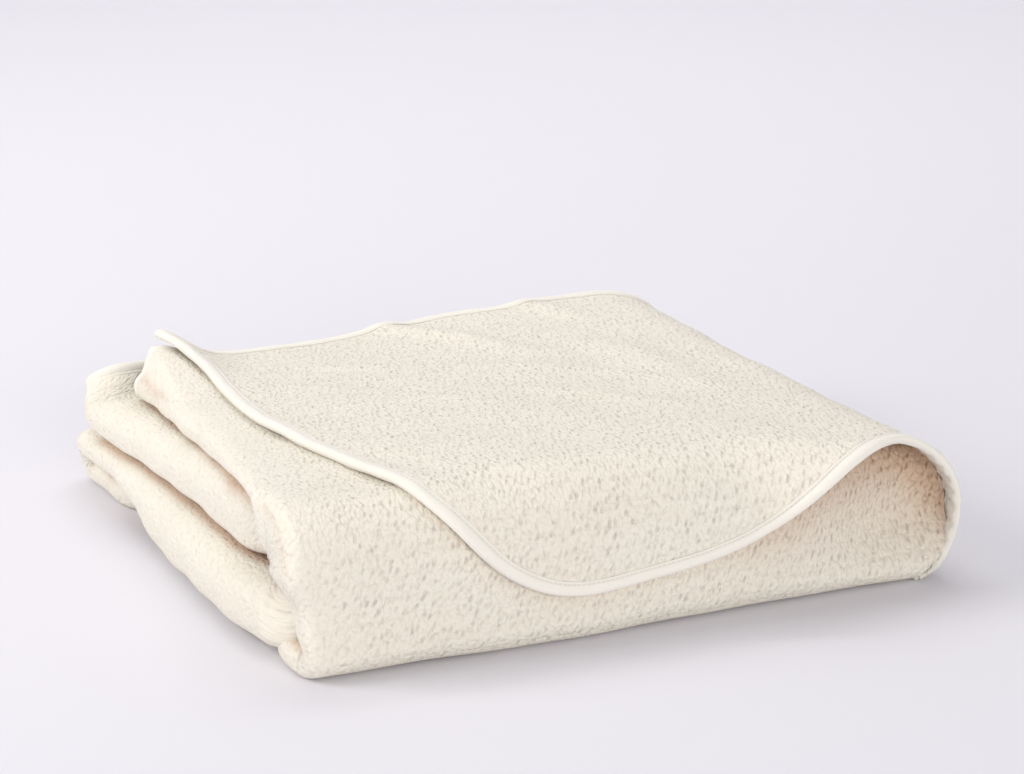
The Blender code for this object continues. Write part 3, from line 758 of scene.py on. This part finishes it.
# only the edge that hangs in front counts, and of the curl's edge only its upper half
edge = edge[(edge[:, 1] < 0.03) & (edge[:, 2] > 0.06 * ramp(edge[:, 0], 0.33, 0.04))]
edge = edge[np.argsort(edge[:, 0])]
edge_z = np.interp(strip_points[:, 0], edge[:, 0], edge[:, 2])
below = np.maximum(edge_z - strip_points[:, 2], 0)
strength = ramp(strip_points[:, 0], *SHADE_GROWS)
front_painted_shade = (SHADE + strength) * np.exp(-((below / (SHADE_DEEP + SHADE_DEEPER * strength)) ** 2))
front_painted_shade *= (strip_points[:, 1] < SHADE_BACK) * ramp(strip_points[:, 0], *SHADE_LEFT)
strip_painted_shade = np.clip(np.maximum(strip_fold[:, 0], front_painted_shade), 0, 1)
under = np.arange(len(flap_points)) >= len(flap_points) // 2
curl_share = ramp(flap_points[:, 0], *CURL_FROM)
curl_painted_shade = CURL_SHADE * curl_share * ramp(flap_points[:, 2], *CURL_SHADE_Z)
flap_painted_shade = under * (UNDER_SHADE * (1 - curl_share) + curl_painted_shade)

print("warm points of the cloth:", int((strip_painted_shade > 0.5).sum() + (flap_painted_shade > 0.5).sum()))

# %% The cloth as one mesh
count = len(strip_points)
cloth = soft_object(
    "throw_cloth",
    np.vstack([strip_points, flap_points]),
    np.vstack([strip_flat, flap_flat]),
    strip_faces + [[i + count for i in face] for face in flap_faces],
    cream,
    warmth=np.concatenate([strip_painted_shade, flap_painted_shade]),
    looseness=np.concatenate([strip_fold[:, 1], np.zeros(len(flap_points))]),
)
print("cloth faces:", len(cloth.data.polygons))

# %% [markdown]
# ## The binding
#
# The tape is folded over the edge of the cloth and sewn through. Seen from above it is a smooth round edge,
# then a shallow groove where the stitches pull it down, then its thin inner edge. That profile is swept
# along the outline of the flap and over the two ends of the strip. The profile has an outer and an inner
# side, so the tape is a real thin solid.

# %% Profile of the tape
TAPE_TOP = CLOTH / 2 + 0.0001  # the tape's inner side clears the cloth by this last part
# columns: distance in from the cloth's edge, height above the face of the cloth
TAPE_PROFILE = (
    (0.0084, 0.0002), (0.0082, 0.0007), (0.0073, 0.0008), (0.0064, 0.0002), (0.0055, 0.0008),
    (0.0040, 0.0013), (0.0022, 0.0014), (0.0006, 0.0011), (-0.0008, 0.0002),
)


def tape_profile():
    """Distances in and heights of the closed outline of the tape, outer side first."""
    upper_half = [(s, TAPE_TOP + t) for s, t in TAPE_PROFILE]
    outer = upper_half + [(-0.0014, 0.0)] + [(s, -t) for s, t in reversed(upper_half)]
    inner = [(0.0083, -TAPE_TOP), (0.0003, -TAPE_TOP), (-0.0003, 0.0), (0.0003, TAPE_TOP), (0.0083, TAPE_TOP)]
    return np.array(outer + inner)


profile = tape_profile()


def sweep(name, places, flat):
    """A closed solid through rings of points, its two ends capped by a fan."""
    rings, size = places.shape[:2]
    index = np.arange(rings * size).reshape(rings, size)
    a, b = index[:-1], index[1:]
    faces = np.stack([a, b, np.roll(b, -1, 1), np.roll(a, -1, 1)], -1).reshape(-1, 4).tolist()
    faces += [index[0].tolist(), index[-1][::-1].tolist()]
    return soft_object(name, places.reshape(-1, 3), flat.reshape(-1, 2), faces, ivory)


# %% [markdown]
# Where the binding runs round the curl it is stretched on a bend, so it ripples: a slow wave along the edge
# that leans as it crosses the tape.

# %% Binding of the flap
UNDER_OFFSET = 0.05  # the underside of the tape lies this much aside on its flat map
TAPE_FLOOR = 0.0022  # no tape is made where the cloth's edge is lower than this
RIPPLE_FROM, RIPPLE_RUN, RIPPLE_LEAN, RIPPLE = (0.40, 0.03), 0.012, 0.011, 0.36
SMALL_RUN, SMALL_LEAN, SMALL = 0.031, 0.02, 0.06


def flap_binding():
    normal = sideways(outline)
    keep = flap_middle(outline[:, 0], outline[:, 1])[:, 2] > TAPE_FLOOR
    line, normal, run = outline[keep], normal[keep], outline_run[keep]
    s, t = profile[:, 0][None], profile[:, 1][None]
    curl = ramp(line[:, 0, None], *RIPPLE_FROM)
    low = flap_middle(line[:, 0], line[:, 1])[:, 2, None]
    # it is pressed flat at the floor
    t = t * (0.45 + 0.55 * ramp(low, 0.002, 0.008))
    ripple = np.sin(2 * math.pi * (run[:, None] / RIPPLE_RUN + s / RIPPLE_LEAN))
    small = np.sin(2 * math.pi * (run[:, None] / SMALL_RUN + s / SMALL_LEAN))
    puff = 1 + (RIPPLE * curl * ripple + SMALL * small) * (np.abs(t) > TAPE_TOP + 0.0004)
    # the tape tucks under at the floor
    tuck = 0.12 + 0.88 * ramp(outline_run[-1] - run[:, None], 0.004, 0.012)
    # it is turned wider on the inside of the curl, and narrower near the floor
    widen = 0.6 * curl * ramp(low, 0.012, 0.03) - 0.7 * (1 - ramp(low, 0.004, 0.012))
    wide = s * tuck * (1 + (t < 0) * widen)
    x = line[:, 0, None] + normal[:, 0, None] * wide
    y = line[:, 1, None] + normal[:, 1, None] * wide
    places = flap_place(x, y, t * puff * tuck)
    flat = np.stack(np.broadcast_arrays(run[:, None], s + UNDER_OFFSET * (t < 0)), -1)
    return sweep("flap_binding_tape", places, flat)


flap_tape = flap_binding()
print("flap binding faces:", len(flap_tape.data.polygons))


# %% Binding of the strip's two ends
END_TO = FLARE + OUTER + NEAR + ROUND + NEAR + BACK  # the tape ends where the layer turns in


def back_from_end(end, before, distance):
    """The section that lies a distance in from an end of the strip."""
    heading = end[:2] - before[:2]
    section = end.copy()
    section[:2] -= heading / np.linalg.norm(heading) * distance
    return section


def beside_path(section, offset):
    """Places beside a section's line, at an offset from it."""
    path = fold_path(section)
    place = (path + sideways(path) * offset)[:END_TO]
    return strip_place(section, place[:, 0], place[:, 1])


def end_binding(name, end, before):
    places = np.stack([beside_path(back_from_end(end, before, s), t) for s, t in profile], 1)
    run = run_along(fold_path(end)[:END_TO])
    flat = np.stack(np.broadcast_arrays(run[:, None], profile[:, 0][None]), -1)
    return sweep(name, places, flat)


top_tape = end_binding("top_end_binding_tape", sections[0], sections[1])
inner_tape = end_binding("inner_end_binding_tape", sections[-1], sections[-2])

# %% [markdown]
# ## Stitches
#
# A row of stitches holds the tape, in its groove, above and below. Stitches repeat along a path, which is
# what Geometry Nodes are for: the path is cut into even steps, a small rounded stitch is set on each step
# and turned along the path, and the result is made real, so that it can be exported.

# %% A helper for node trees
def add_node(tree, kind, inputs=None, **settings):
    """A node with its settings, and each named input set to a value or joined to another node's output."""
    node = tree.nodes.new(kind)
    for label, value in settings.items():
        setattr(node, label, value)
    for label, value in (inputs or {}).items():
        if isinstance(value, bpy.types.NodeSocket):
            tree.links.new(value, node.inputs[label])
        else:
            node.inputs[label].default_value = value
    return node


def new_tree(name, kind, inputs, outputs):
    """A node group with named inputs and outputs, and the sockets that its inputs come in by."""
    tree = bpy.data.node_groups.new(name, kind)
    for label, socket_kind, value in inputs:
        socket = tree.interface.new_socket(label, in_out="INPUT", socket_type="NodeSocket" + socket_kind)
        if value is not None:
            socket.default_value = value
    for label, socket_kind in outputs:
        tree.interface.new_socket(label, in_out="OUTPUT", socket_type="NodeSocket" + socket_kind)
    return tree, tree.nodes.new("NodeGroupInput").outputs


# %% Build the stitching tree
def stitching_tree():
    tree, given = new_tree(
        "run_of_stitches", "GeometryNodeTree",
        (("Seam", "Geometry", None), ("Pitch", "Float", 0.0032), ("Length", "Float", 0.0022),
         ("Thickness", "Float", 0.00038), ("Seed", "Int", 7), ("Material", "Material", None)),
        (("Stitches", "Geometry"),),
    )

    def add(kind, inputs, **settings):
        return add_node(tree, kind, inputs, **settings).outputs

    curve = add("GeometryNodeMeshToCurve", {"Mesh": given["Seam"]})
    even = {"Curve": curve["Curve"], "Length": given["Pitch"]}
    steps = add("GeometryNodeCurveToPoints", even, mode="LENGTH")
    ball = add("GeometryNodeMeshUVSphere", {"Segments": 6, "Rings": 4, "Radius": 0.5})
    turn = add("FunctionNodeAlignRotationToVector", {"Vector": steps["Tangent"]}, axis="Z")
    # each stitch is a little shorter or longer than the next; inputs 2 and 3 are the least and the most
    vary = add("FunctionNodeRandomValue", {2: 0.85, 3: 1.1, "Seed": given["Seed"]}, data_type="FLOAT")
    long = add("ShaderNodeMath", {0: given["Length"], 1: vary[1]}, operation="MULTIPLY")
    thick = given["Thickness"]
    size = add("ShaderNodeCombineXYZ", {"X": thick, "Y": thick, "Z": long[0]})
    place = add("GeometryNodeInstanceOnPoints", {
        "Points": steps["Points"], "Instance": ball["Mesh"], "Rotation": turn["Rotation"],
        "Scale": size["Vector"],
    })
    real = add("GeometryNodeRealizeInstances", {"Geometry": place["Instances"]})
    smooth = add("GeometryNodeSetShadeSmooth", {"Geometry": real["Geometry"]})
    paint = add("GeometryNodeSetMaterial", {"Geometry": smooth["Geometry"], "Material": given["Material"]})
    add("NodeGroupOutput", {"Stitches": paint["Geometry"]})
    return tree


stitches_tree = stitching_tree()


# %% Sew along lines
def sew(name, lines, **sizes):
    """Stitches along lines of points, as one plain mesh."""
    mesh = bpy.data.meshes.new(name)
    points, edges = [], []
    for line in lines:
        edges += [(len(points) + i, len(points) + i + 1) for i in range(len(line) - 1)]
        points += (line + NEAR_CORNER).tolist()
    mesh.from_pydata(points, edges, [])
    obj = place_object(name, mesh)
    modifier = obj.modifiers.new("sewing", "NODES")
    modifier.node_group = stitches_tree
    for item in stitches_tree.interface.items_tree:
        if item.in_out == "INPUT" and item.name in sizes:
            modifier[item.identifier] = sizes[item.name]
        if item.in_out == "INPUT" and item.name == "Material":
            modifier[item.identifier] = thread
    seen = obj.evaluated_get(bpy.context.evaluated_depsgraph_get())
    made = bpy.data.meshes.new_from_object(seen)
    obj.modifiers.clear()
    obj.data = made
    bpy.data.meshes.remove(mesh)
    print(name, "faces:", len(made.polygons))
    return obj


SEAM_IN, SEAM_UP = 0.0064, TAPE_TOP + 0.0003
SEAM_FLOOR = 0.0055  # the flap's seam stops where its edge meets the floor


def flap_seams():
    normal = sideways(outline)
    keep = flap_middle(outline[:, 0], outline[:, 1])[:, 2] > SEAM_FLOOR
    line = outline[keep] + normal[keep] * SEAM_IN
    return [flap_place(line[:, 0], line[:, 1], np.full(len(line), side)) for side in (SEAM_UP, -SEAM_UP)]


def end_seam(end, before):
    return beside_path(back_from_end(end, before, SEAM_IN), -SEAM_UP)


end_seams = [end_seam(sections[0], sections[1]), end_seam(sections[-1], sections[-2])]
flap_stitches = sew("flap_stitches", flap_seams(), Seed=7)
end_stitches = sew("end_stitches", end_seams, Seed=11)

# %% [markdown]
# ## The weave
#
# The cloth has a pebbled weave: rows of short slanting pits, each row half a step off from the last, in a
# face of small raised pebbles and loose fibres. It could be modelled, but at this size a height drawn by
# shader nodes on the flat cloth looks the same and costs nothing, and the group also says how much shade to
# paint into its pits and hollows. It is kept in a node group with its sizes as inputs, so that the same weave
# can be finer or coarser.

# %% Small helpers for shader trees
def math_node(tree, operation, *values):
    return add_node(tree, "ShaderNodeMath", dict(enumerate(values)), operation=operation).outputs[0]


def parts_of(tree, vector):
    """The X, Y and Z of a vector or a colour."""
    return add_node(tree, "ShaderNodeSeparateXYZ", {0: vector}).outputs


def noise_node(tree, where, scale, detail=2.0, rough=0.5):
    settings = {"Vector": where, "Scale": scale, "Detail": detail, "Roughness": rough}
    return add_node(tree, "ShaderNodeTexNoise", settings).outputs


def mix_colours(tree, amount, first, second):
    colours = {"Factor": amount, "A": first, "B": second}
    return add_node(tree, "ShaderNodeMix", colours, data_type="RGBA").outputs["Result"]


# %% The pebbled weave as a node group
COLUMN, ROW, LEAN = 0.0048, 0.0068, 0.42  # width and height of a cell of the weave, and how its pit leans
PIT_WIDE, PIT_HIGH, PIT_STRAY = 0.24, 0.42, 0.65  # in cells; the last is how far the pits stray
PEBBLE_WIDE, PEBBLE_HIGH = 0.0026, 0.0034
WANDER = (0.0028, 0.0030, 0.0)
FURROW_LOW, PIT_LOW, PEBBLE_LOW, FUZZ_UP = -0.35, -0.50, -0.85, 0.85  # shares of the height


def weave_group():
    tree, given = new_tree(
        "pebbled_weave", "ShaderNodeTree",
        (("Vector", "Vector", None), ("Column", "Float", COLUMN), ("Row", "Float", ROW),
         ("Lean", "Float", LEAN), ("Looseness", "Float", 0.0)),
        (("Height", "Float"), ("PitShade", "Float")),
    )

    def calc(operation, *values):
        return math_node(tree, operation, *values)

    def cells(x, y, randomness):
        """Jittered cells one wide and one high."""
        place = add_node(tree, "ShaderNodeCombineXYZ", {0: x, 1: y}).outputs[0]
        settings = {"Vector": place, "Scale": 1.0, "Randomness": randomness}
        return add_node(tree, "ShaderNodeTexVoronoi", settings, voronoi_dimensions="2D").outputs

    # the yarns wander a little
    wander = noise_node(tree, given["Vector"], 120.0)["Color"]
    shifted = {0: wander, 1: WANDER, 2: given["Vector"]}
    shift = add_node(tree, "ShaderNodeVectorMath", shifted, operation="MULTIPLY_ADD")
    part = parts_of(tree, shift.outputs[0])
    x, y = part["X"], part["Y"]
    # one pit in each cell, every row half a column off from the last
    rows = calc("DIVIDE", y, given["Row"])
    columns = calc("MULTIPLY_ADD", rows, 0.5, calc("DIVIDE", x, given["Column"]))
    pits = cells(columns, rows, PIT_STRAY)
    nearest, strength = parts_of(tree, pits["Position"]), parts_of(tree, pits["Color"])
    up = calc("SUBTRACT", rows, nearest["Y"])
    slant = calc("MULTIPLY_ADD", calc("DIVIDE", given["Row"], given["Column"]), given["Lean"], 0.5)
    aside = calc("SUBTRACT", calc("SUBTRACT", columns, nearest["X"]), calc("MULTIPLY", up, slant))
    aside, up = calc("DIVIDE", aside, PIT_WIDE), calc("DIVIDE", up, PIT_HIGH)
    far = calc("SQRT", calc("ADD", calc("MULTIPLY", aside, aside), calc("MULTIPLY", up, up)))
    pit = calc("SMOOTH_MAX", 0.0, calc("SUBTRACT", 1.2, far), 0.45)
    pit = calc("MULTIPLY", pit, calc("MULTIPLY_ADD", strength["X"], 1.1, 0.25))
    # a faint furrow between every second row
    furrow = calc("POWER", calc("SUBTRACT", 1.0, calc("PINGPONG", rows, 1.0)), 4.0)
    pebble = cells(calc("DIVIDE", x, PEBBLE_WIDE), calc("DIVIDE", y, PEBBLE_HIGH), 1.0)["Distance"]
    fuzz = noise_node(tree, given["Vector"], 520.0, 4.0, 0.7)["Fac"]
    # where the weave is loose its pits fade, and the pebbles a little
    tight = calc("MULTIPLY_ADD", given["Looseness"], -0.75, 1.0)
    calm = calc("MULTIPLY_ADD", given["Looseness"], -0.2, 1.0)
    height = calc("MULTIPLY", calc("MULTIPLY_ADD", furrow, FURROW_LOW, calc("MULTIPLY", pit, PIT_LOW)), tight)
    round_pebble = calc("MULTIPLY", pebble, pebble)
    height = calc("MULTIPLY_ADD", calc("MULTIPLY", round_pebble, PEBBLE_LOW), calm, height)
    height = calc("MULTIPLY_ADD", fuzz, calc("MULTIPLY", calm, FUZZ_UP), height)
    # painted shade: the pits, the furrows and the hollows between pebbles are coloured darker, as where shade
    # falls in them
    hollow = calc("SMOOTH_MAX", 0.0, calc("SUBTRACT", pebble, 0.55), 0.10)
    pit_shade = calc("MULTIPLY_ADD", pit, 0.75, calc("MULTIPLY_ADD", furrow, 0.12, hollow))
    pit_shade = calc("MINIMUM", calc("MULTIPLY", pit_shade, tight), 1.0)
    add_node(tree, "NodeGroupOutput", {"Height": height, "PitShade": pit_shade})
    return tree


weave = weave_group()
print("weave nodes:", len(weave.nodes))

# %% [markdown]
# Cotton is never one colour. A second small group gives slow warm and cool drifts and fine flecks, and both
# the cloth and the tape use it with their own strengths.

# %% Colour drift as a node group
def drift_group():
    tree, given = new_tree(
        "cotton_colour", "ShaderNodeTree",
        (("Vector", "Vector", None), ("Light", "Color", (0.9, 0.85, 0.76, 1)),
         ("Warm", "Color", (0.8, 0.7, 0.58, 1)), ("Drift", "Float", 0.3)),
        (("Color", "Color"),),
    )
    slow = noise_node(tree, given["Vector"], 9.0)["Fac"]
    fleck = noise_node(tree, given["Vector"], 420.0)["Fac"]
    amount = math_node(tree, "MULTIPLY", math_node(tree, "MULTIPLY", slow, fleck), given["Drift"])
    add_node(tree, "NodeGroupOutput", {"Color": mix_colours(tree, amount, given["Light"], given["Warm"])})
    return tree


drift = drift_group()
print("drift nodes:", len(drift.nodes))

# %% [markdown]
# The three finishes are plain shaders with the same parts: a colour that drifts, a height that turns into
# small bumps, and a soft sheen, because cotton fibres catch the light at a glancing angle.

# %% Helpers for the finishes
def use_group(tree, group, **values):
    return add_node(tree, "ShaderNodeGroup", values, node_tree=group).outputs


def flat_place(tree):
    return add_node(tree, "ShaderNodeUVMap", uv_map="flat_cloth").outputs["UV"]


def own_number(tree, label):
    return add_node(tree, "ShaderNodeAttribute", attribute_name=label).outputs["Fac"]


def finish_shader(material, colour, height, depth, rough, sheen):
    tree = material.node_tree
    shader = tree.nodes["Principled BSDF"]
    bump = add_node(tree, "ShaderNodeBump", {"Strength": 1.0, "Distance": depth, "Height": height})
    tree.links.new(colour, shader.inputs["Base Color"])
    tree.links.new(bump.outputs["Normal"], shader.inputs["Normal"])
    for label, value in (("Roughness", rough), ("Specular IOR Level", 0.25), ("Sheen Weight", sheen),
                         ("Sheen Roughness", 0.5)):
        shader.inputs[label].default_value = value


# %% Woven cloth
LIGHT, WARM = (0.915, 0.872, 0.765, 1), (0.84, 0.762, 0.63, 1)
# painted shade: the weave's pits and the deep folds are coloured browner, as where shade falls in them
PIT_SHADE_COLOUR, PAINTED_SHADE_COLOUR = (0.36, 0.19, 0.09, 1), (0.62, 0.42, 0.28, 1)
PAINTED_SHADE_SHARE = 0.82  # how much of the painted warm shade shows in the most shaded fold
PIT_SHADE_SHARE, PIT_SHADE_SHARE_DEEP = 0.19, 0.55  # how much painted shade a pit gets on open cloth, and how much more in a fold with painted warm shade
tree = cream.node_tree
where = flat_place(tree)
warmth, looseness = own_number(tree, "warmth"), own_number(tree, "looseness")
woven = use_group(tree, weave, Vector=where, Column=COLUMN, Row=ROW, Lean=LEAN, Looseness=looseness)
tint = use_group(tree, drift, Vector=where, Light=LIGHT, Warm=WARM, Drift=0.9)["Color"]
shaded = mix_colours(tree, math_node(tree, "MULTIPLY", warmth, PAINTED_SHADE_SHARE), tint, PAINTED_SHADE_COLOUR)
pit_shade_amount = math_node(tree, "MULTIPLY_ADD", warmth, PIT_SHADE_SHARE_DEEP, PIT_SHADE_SHARE)
shaded = mix_colours(tree, math_node(tree, "MULTIPLY", woven["PitShade"], pit_shade_amount), shaded, PIT_SHADE_COLOUR)
finish_shader(cream, shaded, woven["Height"], 0.0013, 0.95, 0.25)
print("cloth finish nodes:", len(tree.nodes))

# %% Tape and thread
TAPE_LIGHT, TAPE_WARM, GROOVE_SHADE_COLOUR = (0.85, 0.82, 0.745, 1), (0.78, 0.71, 0.60, 1), (0.50, 0.43, 0.34, 1)
THREAD_LIGHT, THREAD_WARM = (0.90, 0.87, 0.80, 1), (0.80, 0.73, 0.62, 1)
GROOVE_HALF, GROOVE_SHADE_SHARE = 0.0010, 0.40
tree = ivory.node_tree
where = flat_place(tree)
tint = use_group(tree, drift, Vector=where, Light=TAPE_LIGHT, Warm=TAPE_WARM, Drift=0.35)["Color"]
plain_weave = noise_node(tree, where, 1400.0)["Fac"]
# a thin line of painted shade lies in the groove where the tape is sewn, on both of its sides
from_edge = math_node(tree, "MODULO", parts_of(tree, where)["Y"], UNDER_OFFSET)
off_groove = math_node(tree, "ABSOLUTE", math_node(tree, "SUBTRACT", from_edge, SEAM_IN))
nearness = math_node(tree, "SUBTRACT", 1.0, math_node(tree, "DIVIDE", off_groove, GROOVE_HALF))
groove = math_node(tree, "MULTIPLY", math_node(tree, "SMOOTH_MAX", 0.0, nearness, 0.2), GROOVE_SHADE_SHARE)
finish_shader(ivory, mix_colours(tree, groove, tint, GROOVE_SHADE_COLOUR), plain_weave, 0.00015, 0.75, 0.2)
print("tape finish nodes:", len(tree.nodes))

tree = thread.node_tree
where = add_node(tree, "ShaderNodeTexCoord").outputs["Object"]
tint = use_group(tree, drift, Vector=where, Light=THREAD_LIGHT, Warm=THREAD_WARM, Drift=0.5)["Color"]
strands = noise_node(tree, where, 3000.0, 1.0)["Fac"]
finish_shader(thread, tint, strands, 0.00008, 0.6, 0.1)

# %% [markdown]
# ## Join the pieces to the plain model
#
# Each piece rides on the model's one body, and stands for the plain part that it covers.

for piece, node, slot in (
    (cloth, "cloth", "cream_cloth"),
    (flap_tape, "flap_binding", "ivory_tape"),
    (top_tape, "top_end_binding", "ivory_tape"),
    (inner_tape, "inner_end_binding", "ivory_tape"),
    (flap_stitches, None, "ivory_tape"),
    (end_stitches, None, "ivory_tape"),
):
    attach(piece, "root")
    if node:
        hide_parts(node)

# %% [markdown]
# ## Floor, light and camera
#
# The throw lies on a pale seamless sweep: a floor that curves up far behind it. The light is high and soft,
# stronger from the left. The camera looks down a little from the front left through a long lens.

# %% A pale sweep
TURNED = math.radians(24.782)  # the camera's turn, which the sweep shares
SWEEP_RADIUS, SWEEP_BACK, SWEEP_FRONT, SWEEP_HALF_WIDTH, SWEEP_TOP = 1.2, 2.6, -2.4, 5.0, 4.0
PAPER_COLOUR = (0.765, 0.752, 0.795, 1)


def make_sweep():
    turn = np.linspace(0, quarter, 24)
    line = [(SWEEP_FRONT, 0.0)]
    line += [(SWEEP_BACK + SWEEP_RADIUS * math.sin(a), SWEEP_RADIUS * (1 - math.cos(a))) for a in turn]
    line.append((SWEEP_BACK + SWEEP_RADIUS, SWEEP_TOP))
    points = [(side * SWEEP_HALF_WIDTH, y, z) for y, z in line for side in (-1, 1)]
    faces = [(2 * i, 2 * i + 1, 2 * i + 3, 2 * i + 2) for i in range(len(line) - 1)]
    mesh = bpy.data.meshes.new("floor")
    mesh.from_pydata(points, [], faces)
    mesh.polygons.foreach_set("use_smooth", np.ones(len(faces), bool))
    mesh.transform(Matrix.Rotation(-TURNED, 4, "Z"))
    paper = bpy.data.materials.new("pale_paper")
    paper.use_nodes = True
    shader = paper.node_tree.nodes["Principled BSDF"]
    for label, value in (("Base Color", PAPER_COLOUR), ("Roughness", 0.9), ("Specular IOR Level", 0.1)):
        shader.inputs[label].default_value = value
    mesh.materials.append(paper)
    return place_object("floor", mesh)


make_sweep()


# %% Soft light
def area_light(name, place, target, size, power, colour):
    data = bpy.data.lights.new(name, "AREA")
    data.shape = "RECTANGLE"
    data.size, data.size_y = size
    data.energy = power
    data.color = colour
    obj = place_object(name, data)
    obj.location = place
    obj.rotation_euler = (Vector(target) - Vector(place)).to_track_quat("-Z", "Y").to_euler()


area_light("window_left", (-2.3, 0.5, 1.5), (0, 0, 0), (1.3, 1.3), 39, (1.0, 0.985, 0.96))
area_light("sky_above", (0.2, 0.9, 2.6), (0, 0, 0), (2.4, 2.4), 14, (1.0, 0.99, 0.98))
area_light("fill_front", (-0.2, -3.0, 0.9), (0, 0, 0.05), (2.0, 1.2), 40, (1.0, 0.985, 0.96))
area_light("backdrop_wash", (0.6, 1.2, 3.0), (1.4, 3.6, 0.6), (3.0, 1.0), 40, (1.0, 0.98, 0.98))
world = bpy.data.worlds.new("pale_room")
world.use_nodes = True
sky = world.node_tree.nodes["Background"].inputs
sky["Color"].default_value = (0.97, 0.965, 1.0, 1)
sky["Strength"].default_value = 0.50
bpy.context.scene.world = world
bpy.context.scene.view_settings.view_transform = "Standard"

# %% [markdown]
# The camera was worked out from the pile's own edges: it looks 16.5 degrees down, turned 24.8 degrees, from
# 1.75 m away, and the near corner of the pile falls at pixel (312, 682) of a picture 1024 by 774.

# %% Camera
LOOK_DOWN, DISTANCE = math.radians(16.549), 1.7494
LENS_PX, PICTURE, NEAR_PIXEL = 3000.0, (1024, 774), (312, 682)
SENSOR = 36.0  # millimetres

level, down = math.cos(LOOK_DOWN), -math.sin(LOOK_DOWN)
to_right = Vector((math.cos(TURNED), -math.sin(TURNED), 0))
forward = Vector((math.sin(TURNED) * level, math.cos(TURNED) * level, down))
upward = to_right.cross(forward)
ray = (to_right * (NEAR_PIXEL[0] - PICTURE[0] / 2) - upward * (NEAR_PIXEL[1] - PICTURE[1] / 2)) / LENS_PX
ray = (ray + forward).normalized()
camera_data = bpy.data.cameras.new("camera")
camera_data.sensor_width = SENSOR
camera_data.lens = SENSOR * LENS_PX / PICTURE[0]
camera = place_object("camera", camera_data)
turned = Matrix((to_right, upward, -forward)).transposed().to_4x4()
camera.matrix_world = Matrix.Translation(Vector(NEAR_CORNER) - ray * DISTANCE) @ turned
bpy.context.scene.camera = camera
